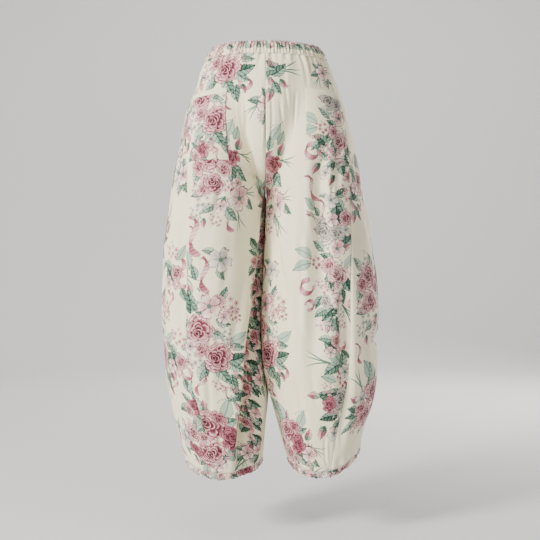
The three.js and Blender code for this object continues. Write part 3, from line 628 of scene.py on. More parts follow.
BOUQUETS = {
    # A tall posy: a rose and a darker one over a wide blossom, with a bud and pale leaves above.
    "posy": stamps(
        (DOTS, (34, -112, 17, -38, 0.5)),
        (GRASS, (62, -34, 26, 12, 0.4), (60, 44, 26, -12, 0.5), (46, 106, 26, 66, 0.4)),
        (RIBBON, (18, 104, 31, 58, 0.5), (-60, 140, 24, 70, 0.3)),
        (LEAF, (30, -96, 22, -58, 0.95), (44, -84, 17, -68, 0.8), (18, -72, 17, -86, 0.45),
         (40, 2, 26, 48, 0.5), (22, 12, 21, 96, 0.35), (70, 68, 19, 44, 0.35), (-2, 72, 19, 112, 0.4),
         (24, 92, 22, 42, 0.55), (-58, 12, 23, 118, 0.6), (-50, -22, 22, 200, 0.3), (-30, 84, 19, 150, 0.5),
         (-58, 52, 19, 170, 0.35), (-64, -52, 20, 230, 0.6), (-14, -60, 20, 250, 0.3)),
        (BUD, (46, -60, 16, -64, 0.3), (18, -50, 12, -40, 0.2), (-34, 112, 12, 80, 0.3)),
        (FLORETS, (2, 30, 21, 0, 0.4), (-46, 62, 26, 40, 0.95), (-30, -58, 25, 80, 0.9),
         (-12, 104, 18, 20, 0.3), (-60, 90, 20, 10, 0.95), (-64, 36, 17, 60, 0.5), (30, 30, 16, 30, 0.5),
         (-52, -40, 18, 30, 0.5)),
        (ROSE, (-24, -28, 31, 20, 0.45), (24, -28, 21, 70, 0.1), (4, -4, 18, 160, 0.62),
         (-24, 28, 27, 120, 0.5), (-46, 40, 17, 60, 0.7), (-52, -8, 20, 10, 0.55)),
        (BLOSSOM, (38, 58, 31, 12, 0.5), (30, 26, 14, 70, 0.4), (-4, 76, 17, 30, 0.65)),
    ),
    # Two full peonies with a pale blossom, florets and ribbon loops.
    "peonies": stamps(
        (DOTS, (20, 122, 15, 60, 0.4)),
        (GRASS, (-34, -118, 29, -128, 0.4)),
        (LOOP, (-62, 40, 22, 150, 0.4), (-58, 84, 19, -20, 0.3), (64, 82, 20, 60, 0.2)),
        (RIBBON, (-30, 104, 29, 112, 0.5), (22, 124, 20, 60, 0.2)),
        (LEAF, (-44, -74, 28, 258, 0.3), (-26, -62, 23, 230, 0.5), (36, -30, 19, 20, 0.4),
         (72, 2, 22, -30, 0.95), (-60, 8, 23, 210, 0.45), (60, 46, 28, -14, 0.15), (56, 64, 23, 34, 0.5),
         (28, 82, 28, 62, 0.4), (46, 104, 22, 84, 0.35), (-20, 82, 21, 120, 0.7), (-52, -24, 19, 170, 0.3),
         (22, -6, 20, 20, 0.55), (-8, 70, 20, 96, 0.3), (66, 22, 18, 8, 0.4), (-60, 62, 18, 150, 0.2),
         (34, -92, 18, -60, 0.4)),
        (BUD, (-42, -100, 14, -110, 0.5), (62, 94, 13, 70, 0.1), (-56, 104, 14, 110, 0.3)),
        (FLORETS, (44, -68, 30, 0, 0.35), (40, -2, 22, 40, 0.9), (-38, 48, 26, 20, 0.8),
         (8, 108, 17, 20, 0.25), (60, -46, 20, 20, 0.2), (-52, -36, 18, 20, 0.4), (46, 20, 16, 10, 0.3),
         (-48, 66, 19, 80, 0.35)),
        (ROSE, (-16, -12, 36, 0, 0.48), (-14, 28, 21, 100, 0.66), (20, 48, 34, 50, 0.4),
         (8, 18, 16, 140, 0.7), (24, -76, 14, 140, 0.6)),
        (BLOSSOM, (4, -64, 30, 30, 0.62), (36, -40, 16, 0, 0.5), (-40, 22, 18, 40, 0.75)),
    ),
    # A loose tulip-like peony with a dark heart, buds and round leaves.
    "peony": stamps(
        (DOTS, (42, -64, 16, -36, 0.5)),
        (GRASS, (-58, -40, 29, -130, 0.6), (62, 66, 29, -40, 0.4)),
        (LEAF, (-38, -64, 26, 236, 0.9), (-20, -56, 28, 244, 0.75), (-28, -30, 20, 268, 0.5),
         (40, -48, 22, -64, 0.95), (36, -24, 22, -16, 0.45), (42, 38, 22, 44, 0.4), (22, 52, 22, 84, 0.3),
         (-34, 34, 23, 168, 0.4), (-30, 54, 20, 130, 0.55), (18, 64, 17, 110, 0.2), (48, 8, 18, 0, 0.3),
         (-46, 22, 17, 190, 0.25)),
        (BUD, (58, -16, 15, -70, 0.3), (-54, 2, 14, 200, 0.5), (2, -52, 13, -80, 0.25)),
        (FLORETS, (-32, -22, 16, 0, 0.35), (26, 30, 17, 50, 0.4), (-18, 60, 14, 20, 0.3)),
        (ROSE, (2, -14, 34, 100, 0.52), (0, 38, 25, 30, 0.56), (32, 8, 22, 200, 0.05),
         (-24, 20, 17, 250, 0.6), (24, -30, 15, 320, 0.3)),
        (BLOSSOM, (-36, 0, 19, 40, 0.95), (18, 60, 15, 0, 0.6)),
    ),
    # Grey roses and a mauve bloom among dark leaves, with ribbon loops to both sides.
    "bow": stamps(
        (GRASS, (56, 84, 31, 48, 0.3)),
        (LOOP, (-48, 26, 23, 140, 0.15), (-42, 66, 16, -30, 0.2), (66, -6, 20, 20, 0.4),
         (84, 34, 20, 100, 0.5), (66, 62, 18, 190, 0.4)),
        (RIBBON, (20, 130, 29, 76, 0.35)),
        (LEAF, (24, -112, 21, -60, 0.5), (-60, -46, 23, 204, 0.98), (-62, -16, 24, 160, 0.9),
         (50, -32, 19, -56, 0.98), (8, 16, 24, 74, 0.1), (50, 20, 22, 60, 0.05), (6, 84, 28, 140, 0.15),
         (4, 108, 21, 110, 0.4), (-24, -60, 19, 220, 0.6), (-20, 60, 17, 120, 0.35), (-2, -34, 21, 210, 0.2),
         (46, -74, 20, -40, 0.25), (24, 108, 20, 80, 0.2), (-16, 84, 18, 150, 0.45), (40, 46, 19, 80, 0.3)),
        (BUD, (-26, -94, 12, 200, 0.3), (44, -60, 12, -30, 0.3)),
        (FLORETS, (-28, -26, 21, 0, 0.15), (0, 42, 27, 50, 0.5), (30, 80, 17, 10, 0.9),
         (-8, -70, 17, 30, 0.9), (36, -20, 17, 30, 0.9), (-18, 20, 15, 0, 0.4), (22, 34, 18, 70, 0.3),
         (36, 104, 15, 10, 0.4)),
        (ROSE, (-8, -96, 25, 0, 0.95), (22, -88, 19, 60, 0.9), (24, 2, 25, 90, 0.75), (2, -20, 18, 40, 0.6),
         (-4, 58, 16, 0, 0.95)),
        (BLOSSOM, (22, -56, 22, 20, 0.45), (24, 56, 19, 40, 0.7), (44, -96, 15, 0, 0.95)),
    ),
    # A grey peony with dark leaves, a blossom and drooping buds.
    "grey": stamps(
        (DOTS, (-18, -112, 16, 10, 0.4)),
        (GRASS, (-48, -84, 29, 190, 0.4), (58, -34, 24, -62, 0.4)),
        (RIBBON, (-6, -116, 29, 76, 0.4)),
        (LEAF, (-18, -90, 26, 216, 0.85), (-22, -66, 23, 150, 0.4), (4, -84, 20, -80, 0.45),
         (36, -78, 16, -40, 0.98), (-36, -12, 23, 196, 0.3), (-30, 30, 21, 170, 0.1), (28, 24, 26, 18, 0.05),
         (40, 4, 20, -20, 0.25), (0, 42, 17, 96, 0.15), (-32, -48, 17, 200, 0.8), (30, 96, 20, -40, 0.25),
         (16, -30, 20, -70, 0.15), (-22, -18, 19, 180, 0.05), (24, 46, 20, 60, 0.2), (52, 14, 18, 0, 0.4),
         (-14, 50, 18, 130, 0.3), (52, -66, 15, -20, 0.5)),
        (BUD, (-62, -14, 14, 186, 0.5), (-44, 60, 16, 110, 0.2), (4, 78, 16, 116, 0.2),
         (56, 48, 12, 40, 0.1)),
        (FLORETS, (2, -44, 21, 0, 0.1), (36, -20, 17, 40, 0.5), (-26, 12, 15, 10, 0.2),
         (52, 34, 17, 10, 0.35), (-6, 26, 16, 0, 0.9), (-34, -30, 15, 40, 0.35), (22, -70, 15, 10, 0.9)),
        (ROSE, (2, -4, 30, 80, 0.98), (-30, 2, 16, 200, 0.1), (14, 30, 16, 30, 0.9)),
        (BLOSSOM, (36, -50, 22, 0, 0.55), (-20, 64, 17, 30, 0.85), (10, -60, 17, 60, 0.9),
         (44, 60, 15, 60, 0.2)),
    ),
    # A low run of leaves, small grey florets, ribbon and a few small roses.
    "garland": stamps(
        (RIBBON, (-34, 2, 32, 14, 0.4)),
        (GRASS, (52, 6, 26, -20, 0.2)),
        (LOOP, (20, -9, 9, 70, 0.3)),
        (LEAF, (-60, -4, 20, 165, 0.4), (-30, 8, 18, 40, 0.85), (-14, -8, 17, 200, 0.2),
         (16, 8, 18, 20, 0.3), (40, -6, 17, -30, 0.9), (58, 5, 19, 12, 0.45)),
        (BUD, (30, 9, 11, 60, 0.3)),
        (FLORETS, (-44, 2, 16, 10, 0.9), (4, -3, 14, 40, 0.5), (44, 4, 13, 80, 0.85)),
        (BLOSSOM, (-12, 4, 11, 30, 0.5)),
        (ROSE, (24, -2, 10, 0, 0.6)),
    ),
    # A tall narrow stack of dark leaves, deep petals and a dark rose. It is dark print, and it is also laid
    # down the inner valleys between the legs as painted shade.
    "dusk": stamps(
        (GRASS, (20, -76, 24, -60, 0.1)),
        (LOOP, (4, 52, 19, 40, 0.1)),
        (RIBBON, (-8, 20, 30, 80, 0.3)),
        (LEAF, (-10, -62, 24, 40, 0.14), (12, -54, 23, 120, 0.04), (-14, -36, 21, 200, 0.3),
         (14, -10, 22, 60, 0.08), (-18, 12, 22, 130, 0.2), (12, 30, 21, 20, 0.05), (-10, 84, 23, 70, 0.22),
         (12, 96, 20, 110, 0.1), (4, -26, 23, 100, 0.2), (-2, 50, 22, 290, 0.4)),
        (BUD, (-16, 60, 16, 110, 0.15), (14, -44, 15, 70, 0.25)),
        (FLORETS, (14, -26, 16, 0, 0.9), (-12, 34, 15, 30, 0.5)),
        (ROSE, (-8, -12, 17, 20, 0.4)),
        (BLOSSOM, (6, 68, 18, 60, 0.4)),
    ),
    # A light spray: pale leaves and a bud over a dark rose, and grass.
    "spray": stamps(
        (DOTS, (-8, -66, 14, -60, 0.5)),
        (GRASS, (30, 18, 24, -18, 0.4)),
        (LEAF, (-8, -48, 21, -70, 0.95), (12, -44, 17, -52, 0.8), (-2, -30, 16, -88, 0.5),
         (14, 26, 21, 60, 0.45), (-22, 24, 20, 140, 0.35), (-20, -6, 16, 200, 0.4)),
        (BUD, (18, -28, 15, -64, 0.3)),
        (FLORETS, (14, -14, 13, 0, 0.4), (4, 30, 12, 0, 0.5)),
        (ROSE, (2, 2, 19, 20, 0.1), (-12, 18, 15, 160, 0.62)),
    ),
    # A wide blossom in grass, with two pointed leaves.
    "blossom": stamps(
        (GRASS, (8, -26, 29, -10, 0.4), (-6, 32, 26, 80, 0.5)),
        (LEAF, (24, 4, 21, 6, 0.4), (24, 18, 20, 46, 0.5), (-18, 20, 20, 130, 0.35),
         (-24, -6, 16, 180, 0.4)),
        (FLORETS, (-14, -22, 17, 0, 0.4), (16, 26, 13, 0, 0.3)),
        (BLOSSOM, (0, 0, 26, 20, 0.5)),
    ),
    # A grey blossom beside a long twisted ribbon.
    "streamer": stamps(
        (GRASS, (-34, 36, 26, 44, 0.4)),
        (RIBBON, (-26, -38, 40, 66, 0.5), (-2, 30, 35, 74, 0.35)),
        (LEAF, (-40, 2, 23, 242, 0.9), (-22, 26, 16, 250, 0.4), (30, 28, 15, 60, 0.4),
         (6, -10, 14, 190, 0.6)),
        (BUD, (-46, 30, 12, 196, 0.9)),
        (BLOSSOM, (28, 4, 25, 10, 0.98)),
    ),
    # Two hanging buds on a leafy stalk.
    "buds": stamps(
        (DOTS, (20, -6, 14, 30, 0.5)),
        (GRASS, (26, -30, 29, -8, 0.3)),
        (LEAF, (2, -32, 21, -130, 0.15), (12, -30, 20, -40, 0.3), (-8, -22, 17, 160, 0.45),
         (8, 6, 15, 60, 0.35)),
        (BUD, (0, -8, 17, 74, 0.2), (-6, 20, 16, 110, 0.4), (20, -2, 12, 50, 0.3)),
        (FLORETS, (-8, -44, 13, 0, 0.2)),
    ),
    # Ribbon loops round a dark leaf and florets.
    "loops": stamps(
        (LOOP, (10, -14, 22, 30, 0.2), (22, 22, 21, 130, 0.45), (-10, 40, 20, 220, 0.4)),
        (RIBBON, (-14, 70, 26, 100, 0.3)),
        (LEAF, (-14, 10, 26, 50, 0.1), (-26, -10, 22, 200, 0.5), (14, -40, 20, -60, 0.85),
         (26, 52, 18, 60, 0.3)),
        (FLORETS, (-16, -44, 26, 0, 0.3), (2, 30, 15, 0, 0.4)),
        (ROSE, (4, 6, 18, 0, 0.55)),
        (BLOSSOM, (-24, 26, 18, 0, 0.6)),
    ),
}


class Place(NamedTuple):
    """A bouquet on a cut piece: millimetres to the right of the middle of its top edge and down from it."""

    bouquet: str
    right: float
    down: float
    turn: float = 0.0
    scale: float = 1.0


def stamps_of(places: Iterable[Place]) -> list[Stamp]:
    """The stamps of all bouquets on a piece, in the order in which they are printed.

    Args:
        places: the bouquets.

    Returns:
        Stamps, measured as the places are.
    """
    laid = []
    for place in places:
        turn = math.radians(place.turn)
        for stamp in BOUQUETS[place.bouquet]:
            x, y = stamp.x * place.scale, stamp.y * place.scale
            right = place.right + x * math.cos(turn) - y * math.sin(turn)
            down = place.down + x * math.sin(turn) + y * math.cos(turn)
            size = stamp.size * place.scale
            laid.append(Stamp(stamp.motif, right, down, size, stamp.turn + place.turn, stamp.tone))
    return laid


def local_place(stamp: Stamp, flat: np.ndarray) -> np.ndarray:
    """Flat cloth places in a stamp's own frame, where it reaches from -1 to 1.

    Args:
        stamp: the stamp, as it lies on the piece.
        flat: places in millimetres, to the right and down.

    Returns:
        Places in the stamp's frame, of the same shape.
    """
    turn = math.radians(stamp.turn)
    dx, dy = flat[..., 0] - stamp.x, flat[..., 1] - stamp.y
    x = (dx * math.cos(turn) + dy * math.sin(turn)) / stamp.size
    y = (-dx * math.sin(turn) + dy * math.cos(turn)) / stamp.size
    return np.stack([x, y], axis=-1)


def print_layers(flat: np.ndarray, places: Iterable[Place]) -> dict[str, np.ndarray]:
    """Lays the print on the corners of a piece's faces.

    A face belongs to one stamp of each layer at most. A stamp goes to the layer of its screen where the
    fewest of the faces that it reaches are taken.

    Args:
        flat: flat places of the corners, faces by 4 by 2.
        places: the bouquets.

    Returns:
        For each layer, the corners' places in their stamp's frame, and the number of its motif and its tone.
    """
    layers = {}
    taken = {}
    for name in (f"{screen}_{i}" for screen, count in LAYERS.items() for i in range(count)):
        layers[name] = np.full((len(flat), 4, 3), NOWHERE, np.float32)
        layers[name][..., 2] = 0
        taken[name] = np.zeros(len(flat), bool)
    middle = flat.mean(axis=1)
    lost = 0
    for stamp in stamps_of(places):
        motif = stamp.motif
        near = np.flatnonzero(np.abs(middle - (stamp.x, stamp.y)).max(axis=1) < 1.6 * stamp.size + 8)
        local = local_place(stamp, flat[near])
        low, high = local.min(axis=1), local.max(axis=1)
        hit = (low[:, 0] < motif.half_length) & (high[:, 0] > -motif.half_length)
        hit &= (low[:, 1] < motif.half_width) & (high[:, 1] > -motif.half_width)
        faces = near[hit]
        if not len(faces):
            continue
        names = [f"{motif.screen}_{i}" for i in range(LAYERS[motif.screen])]
        name = min(names, key=lambda each: taken[each][faces].mean())
        free = ~taken[name][faces]
        lost += int((~free).sum())
        taken[name][faces[free]] = True
        layers[name][faces[free], :, :2] = local[hit][free]
        layers[name][faces[free], :, 2] = 2 * motif.number + stamp.tone
    LOG.debug("faces that a stamp lost to another: %d", lost)
    return layers


# ---- materials ----


def linear(code: str) -> tuple[float, float, float, float]:
    """Turns an sRGB hex colour to a linear one."""
    parts = [int(code[i : i + 2], 16) / 255 for i in (1, 3, 5)]
    return (*(p / 12.92 if p <= 0.04045 else ((p + 0.055) / 1.055) ** 2.4 for p in parts), 1.0)


def add(
    tree: NodeTree, kind: str, links: dict | None = None, stops: Sequence[str] = (), **settings: object
) -> Node:
    """Adds a node.

    Args:
        tree: the node tree.
        kind: the node's type name.
        links: input name or number to a socket, a value or a hex colour.
        stops: hex colours at even steps of the node's colour ramp.
        settings: properties of the node.

    Returns:
        The node.
    """
    node = tree.nodes.new(kind)
    for name, value in settings.items():
        setattr(node, name, value)
    for key, value in (links or {}).items():
        socket = node.inputs[key]
        if isinstance(value, NodeSocket):
            tree.links.new(value, socket)
        else:
            socket.default_value = linear(value) if isinstance(value, str) else value
    for i, code in enumerate(stops):
        elements = node.color_ramp.elements
        place = i / (len(stops) - 1)
        element = elements[0] if i == 0 else elements[-1] if place == 1 else elements.new(place)
        element.color = linear(code)
    return node


# The math nodes that stand for Python's operators and for the functions in a formula.
OPERATIONS = {
    ast.Add: "ADD", ast.Sub: "SUBTRACT", ast.Mult: "MULTIPLY", ast.Div: "DIVIDE", ast.Pow: "POWER",
    ast.Lt: "LESS_THAN", ast.Gt: "GREATER_THAN",
}
FUNCTIONS = {
    "max": "MAXIMUM", "min": "MINIMUM", "abs": "ABSOLUTE", "sin": "SINE", "cos": "COSINE", "sqrt": "SQRT",
    "floor": "FLOOR", "atan": "ARCTAN2",
}


def formula(tree: NodeTree, text: str, **values: NodeSocket | float) -> NodeSocket | float:
    """Writes a formula as math nodes.

    ramp(x, a, b) goes from 0 at a to 1 at b, and near(x, a) is 1 where x is within a half of a.

    Args:
        tree: the node tree.
        text: the formula, in Python's notation.
        values: the sockets or numbers that its names stand for.

    Returns:
        The socket that holds the result, or a number.
    """

    def read(part: ast.AST) -> NodeSocket | float:
        """Writes one part of the formula.

        Args:
            part: the parsed part.

        Returns:
            The socket that holds its result, or a number.
        """
        if isinstance(part, ast.Constant):
            return float(part.value)
        if isinstance(part, ast.Name):
            return values[part.id]
        if isinstance(part, ast.UnaryOp):
            inner = read(part.operand)
            return -inner if isinstance(inner, float) else write("MULTIPLY", inner, -1.0)
        if isinstance(part, ast.BinOp):
            return write(OPERATIONS[type(part.op)], read(part.left), read(part.right))
        if isinstance(part, ast.Compare):
            return write(OPERATIONS[type(part.ops[0])], read(part.left), read(part.comparators[0]))
        arguments = [read(argument) for argument in part.args]
        if part.func.id == "ramp":
            links = {"Value": arguments[0], "From Min": arguments[1], "From Max": arguments[2]}
            return add(tree, "ShaderNodeMapRange", links, clamp=True).outputs["Result"]
        if part.func.id == "near":
            return write("COMPARE", arguments[0], arguments[1], 0.5)
        return write(FUNCTIONS[part.func.id], *arguments)

    def write(operation: str, *arguments: NodeSocket | float) -> NodeSocket:
        """Adds a math node and gives its result."""
        return add(tree, "ShaderNodeMath", dict(enumerate(arguments)), operation=operation).outputs[0]

    return read(ast.parse(text).body[0].value)


def work_out(tree: NodeTree, values: dict, **formulas: str) -> None:
    """Works out formulas in turn, each from the values before it.

    Args:
        tree: the node tree.
        values: sockets and numbers by name, to which the results are added.
        formulas: the name and the formula of each result.
    """
    for name, text in formulas.items():
        values[name] = formula(tree, text, **values)


@dataclass(frozen=True)
class Screen:
    """One screen of the print: motifs that are drawn in a like way, with the inks that it lays down."""

    name: str = ""

    def draw(self, tree: NodeTree, at: dict[str, NodeSocket]) -> tuple[NodeSocket, NodeSocket]:
        """Draws the screen's motifs.

        Args:
            tree: the node tree.
            at: x and y in the stamp's frame, the motif's number (kind), its tone and a slow waver.

        Returns:
            How much of the ink shows, 0 to 1, and the ink's colour.
        """
        raise NotImplementedError

    def group(self) -> NodeTree:
        """Makes the node group that prints one layer of this screen over a colour.

        Returns:
            The node group.
        """
        tree = bpy.data.node_groups.new(f"{self.name}_screen", "ShaderNodeTree")
        tree.interface.new_socket("Ground", in_out="INPUT", socket_type="NodeSocketColor")
        tree.interface.new_socket("Place", in_out="INPUT", socket_type="NodeSocketVector")
        tree.interface.new_socket("Colour", in_out="OUTPUT", socket_type="NodeSocketColor")
        ground, place = add(tree, "NodeGroupInput").outputs[:2]
        x, y, code = add(tree, "ShaderNodeSeparateXYZ", {0: place}).outputs[:3]
        noise = add(tree, "ShaderNodeTexNoise", {"Vector": place, "Scale": 2.4, "Detail": 2.0}).outputs[0]
        at = {"x": x, "y": y, "code": code, "noise": noise}
        work_out(tree, at, kind="floor(code / 2 + 0.001)", tone="code - 2 * kind", waver="noise - 0.5")
        cover, ink = self.draw(tree, at)
        colour = add(tree, "ShaderNodeMix", {0: cover, 6: ground, 7: ink}, data_type="RGBA").outputs[2]
        add(tree, "NodeGroupOutput", {0: colour})
        return tree


@dataclass(frozen=True)
class LeafScreen(Screen):
    """Veined leaves and green-cupped buds."""

    name: str = "leaf"
    greens: tuple[str, ...] = ("#16281F", "#36594A", "#6A8C7A", "#A3B9A5", "#CCD7C2")
    pinks: tuple[str, ...] = ("#672B38", "#9A5061", "#C68C92", "#EDD5CB")

    def draw(self, tree: NodeTree, at: dict[str, NodeSocket]) -> tuple[NodeSocket, NodeSocket]:
        """Draws a bent leaf with a rib, veins and a toothed edge, or a bud.

        Args:
            tree: the node tree.
            at: the sockets that Screen.draw names.

        Returns:
            How much of the ink shows, and its colour.
        """
        work_out(
            tree, at,
            bend="y + 0.16 * (x * x - 1) + 0.12 * waver",
            off="abs(bend)",
            half="(0.46 + 0.06 * kind) * (1 - min(x * x, 1)) * (1.1 - 0.42 * x)"
            " * (1 + 0.1 * sin(26 * x - 12 * off))",
            cover="ramp(half - off, 0, 0.03)",
            rib="ramp(off, 0.015, 0.06)",
            vein="ramp(abs(sin(8.5 * x - 7 * off)), 0.08, 0.5)",
            rim="ramp(half - off, 0.025, 0.09)",
            side="bend > 0",
            flat="ramp(tone, 0.7, 0.85)",
            light="tone * 0.75 + 0.1"
            " + (1 - flat) * (0.28 * side - 0.06 + 0.6 * waver + 0.46 * (vein * rib - 0.7))"
            " + 0.1 * (1 - flat) * sin(60 * x) - (0.7 - 0.25 * flat) * (1 - rim) - 0.34 * flat * (1 - rib)",
            streak="0.2 + 0.6 * ramp(bend, -0.3, 0.25) + 0.2 * x - 0.35 * (1 - rim) + 0.16 * sin(16 * bend)"
            " + 0.4 * waver",
            petals="kind * ramp(x - 0.5 * abs(sin(9 * bend)) + 0.55, 0, 0.06)",
        )
        green = add(tree, "ShaderNodeValToRGB", {0: at["light"]}, stops=self.greens).outputs[0]
        pink = add(tree, "ShaderNodeValToRGB", {0: at["streak"]}, stops=self.pinks).outputs[0]
        inks = {0: at["petals"], 6: green, 7: pink}
        return at["cover"], add(tree, "ShaderNodeMix", inks, data_type="RGBA").outputs[2]


@dataclass(frozen=True)
class BloomScreen(Screen):
    """Full roses and peonies, and open blossoms with five petals."""

    name: str = "bloom"
    pinks: tuple[str, ...] = ("#4C1E2A", "#8E4756", "#BE7E87", "#E4BCB7", "#FAECDF")
    greys: tuple[str, ...] = ("#3C3936", "#726C68", "#A39C95", "#CBC4B9", "#EAE3D4")
    heart: str = "#4E7060"
    # The rings of petals of a rose, from the outside in: radius, petals, first petal's turn, and shift.
    rings: tuple[tuple[float, int, float, float], ...] = (
        (1.0, 5, 0.3, 0.0),
        (0.83, 5, 1.0, 0.03),
        (0.64, 4, 2.6, 0.08),
        (0.46, 4, 0.5, 0.13),
        (0.29, 3, 1.7, 0.17),
        (0.14, 2, 0.4, 0.19),
    )

    def rose(self, tree: NodeTree, at: dict[str, NodeSocket]) -> tuple[NodeSocket, NodeSocket]:
        """Draws rings of petals that are deep in the folds and pale towards their rims.

        Args:
            tree: the node tree.
            at: the sockets that Screen.draw names.

        Returns:
            How much of the rose shows, and how light it is.
        """
        at = dict(at)
        for radius, petals, start, shift in self.rings:
            work_out(
                tree, at,
                way=f"atan(y - {shift}, x + {shift})",
                far=f"sqrt((x + {shift}) ** 2 + (y - {shift}) ** 2)"
                f" * (1 + 0.35 * waver + 0.08 * sin(way * 2 + {7 * start}))",
                turn=f"way + 1.3 * waver + 0.3 * sin(way + {5 * start}) + 0.16 * sin(3 * way)",
                lobe=f"abs(cos((turn - {start}) * {petals / 2}))",
                edge=f"{radius} * (1 - 0.3 * (1 - lobe) ** 1.7)",
                share="far / edge",
                petal="(0.04 + 0.96 * ramp(share, 0.66, 0.89) * (0.76 + 0.24 * sin(turn * 40 + 9 * share)))"
                " * (0.15 + 0.85 * ramp(lobe, 0.02, 0.32)) * (1 - 0.95 * ramp(share, 0.92, 0.975))",
                here="ramp(share, 1, 0.98)",
            )
            if "cover" in at:
                work_out(tree, at, light="light + (petal - light) * here")
            else:
                at.update(cover=at["here"], light=at["petal"])
        return at["cover"], at["light"]

    def blossom(self, tree: NodeTree, at: dict[str, NodeSocket]) -> tuple[NodeSocket, ...]:
        """Draws five wide petals with streaks from the heart and dark rims.

        Args:
            tree: the node tree.
            at: the sockets that Screen.draw names.

        Returns:
            How much of the blossom shows, how light it is, and the distance from its heart.
        """
        at = dict(at)
        work_out(
            tree, at,
            far="sqrt(x * x + y * y) * (1 + 0.3 * waver)",
            turn="atan(y, x) + 0.7 * waver",
            lobe="abs(cos(2.5 * turn))",
            edge="1 - 0.52 * (1 - lobe) ** 1.4 - 0.1 * ramp(lobe, 0.9, 1)",
            share="far / edge",
            cover="ramp(share, 1, 0.97)",
            light="0.98 - 0.8 * ramp(far, 0.72, 0.2) * (0.5 + 0.5 * sin(35 * turn))"
            " - 0.85 * ramp(share, 0.88, 0.97) - 0.6 * ramp(lobe, 0.3, 0.05) - 0.34 * ramp(y, 0.2, -0.9)",
        )
        return at["cover"], at["light"], at["far"]

    def draw(self, tree: NodeTree, at: dict[str, NodeSocket]) -> tuple[NodeSocket, NodeSocket]:
        """Draws a rose or a blossom, pink or grey.

        Args:
            tree: the node tree.
            at: the sockets that Screen.draw names.

        Returns:
            How much of the ink shows, and its colour.
        """
        at["rose_cover"], at["rose_light"] = self.rose(tree, at)
        at["open_cover"], at["open_light"], at["far"] = self.blossom(tree, at)
        work_out(
            tree, at,
            cover="rose_cover + (open_cover - rose_cover) * kind",
            light="(rose_light + (open_light - rose_light) * kind) * (0.48 + 0.48 * ramp(tone, 0, 0.45))"
            " + 0.1 * ramp(tone, 0.4, 0.7) + 0.55 * waver",
            greyness="ramp(tone, 0.7, 0.9)",
            heart="kind * ramp(far, 0.2, 0.13)",
        )
        pink = add(tree, "ShaderNodeValToRGB", {0: at["light"]}, stops=self.pinks).outputs[0]
        grey = add(tree, "ShaderNodeValToRGB", {0: at["light"]}, stops=self.greys).outputs[0]
        inks = {0: at["greyness"], 6: pink, 7: grey}
        ink = add(tree, "ShaderNodeMix", inks, data_type="RGBA").outputs[2]
        inks = {0: at["heart"], 6: ink, 7: self.heart}
        return at["cover"], add(tree, "ShaderNodeMix", inks, data_type="RGBA").outputs[2]


@dataclass(frozen=True)
class FloretScreen(Screen):
    """Loose heads of small five-petalled florets."""

    name: str = "floret"
    pinks: tuple[str, ...] = ("#7C3748", "#B06A79", "#D8A6A6", "#F4E0D6")
    greys: tuple[str, ...] = ("#5F6B62", "#8F908A", "#B9B5AC", "#DFDACD")
    per_half: float = 2.1  # florets in half a head's width

    def draw(self, tree: NodeTree, at: dict[str, NodeSocket]) -> tuple[NodeSocket, NodeSocket]:
        """Draws a floret in most cells of a Voronoi pattern, fewer towards the edge of the head.

        Args:
            tree: the node tree.
            at: the sockets that Screen.draw names.

        Returns:
            How much of the ink shows, and its colour.
        """
        place = add(tree, "ShaderNodeCombineXYZ", {0: at["x"], 1: at["y"]}).outputs[0]
        looks = {"Vector": place, "Scale": self.per_half, "Randomness": 0.85}
        cell = add(tree, "ShaderNodeTexVoronoi", looks, voronoi_dimensions="2D").outputs
        at["distance"] = cell["Distance"]
        at["u"], at["v"] = add(tree, "ShaderNodeSeparateXYZ", {0: cell["Position"]}).outputs[:2]
        random = add(tree, "ShaderNodeSeparateColor", {0: cell["Color"]}).outputs
        at["pick"], at["spin"], at["shade"] = random[:3]
        work_out(
            tree, at,
            turn="atan(y - v, x - u) + 6 * spin",
            lobe="abs(cos(2.5 * turn))",
            edge="0.5 - 0.2 * (1 - lobe)",
            share="distance / edge",
            reach="sqrt(u * u + v * v) + 0.7 * waver",
            cover="ramp(share, 1, 0.9) * (pick > ramp(reach, 0.62, 1.02))",
            light="1 - ramp(share, 0.46, 0.16) - 0.62 * ramp(share, 0.72, 0.92)"
            " - 0.5 * ramp(lobe, 0.36, 0.1) - 0.26 * shade - 0.3 * ramp(tone, 0.3, 0.1)",
            greyness="ramp(tone + 0.5 * shade, 0.85, 1)",
        )
        pink = add(tree, "ShaderNodeValToRGB", {0: at["light"]}, stops=self.pinks).outputs[0]
        grey = add(tree, "ShaderNodeValToRGB", {0: at["light"]}, stops=self.greys).outputs[0]
        inks = {0: at["greyness"], 6: pink, 7: grey}
        return at["cover"], add(tree, "ShaderNodeMix", inks, data_type="RGBA").outputs[2]


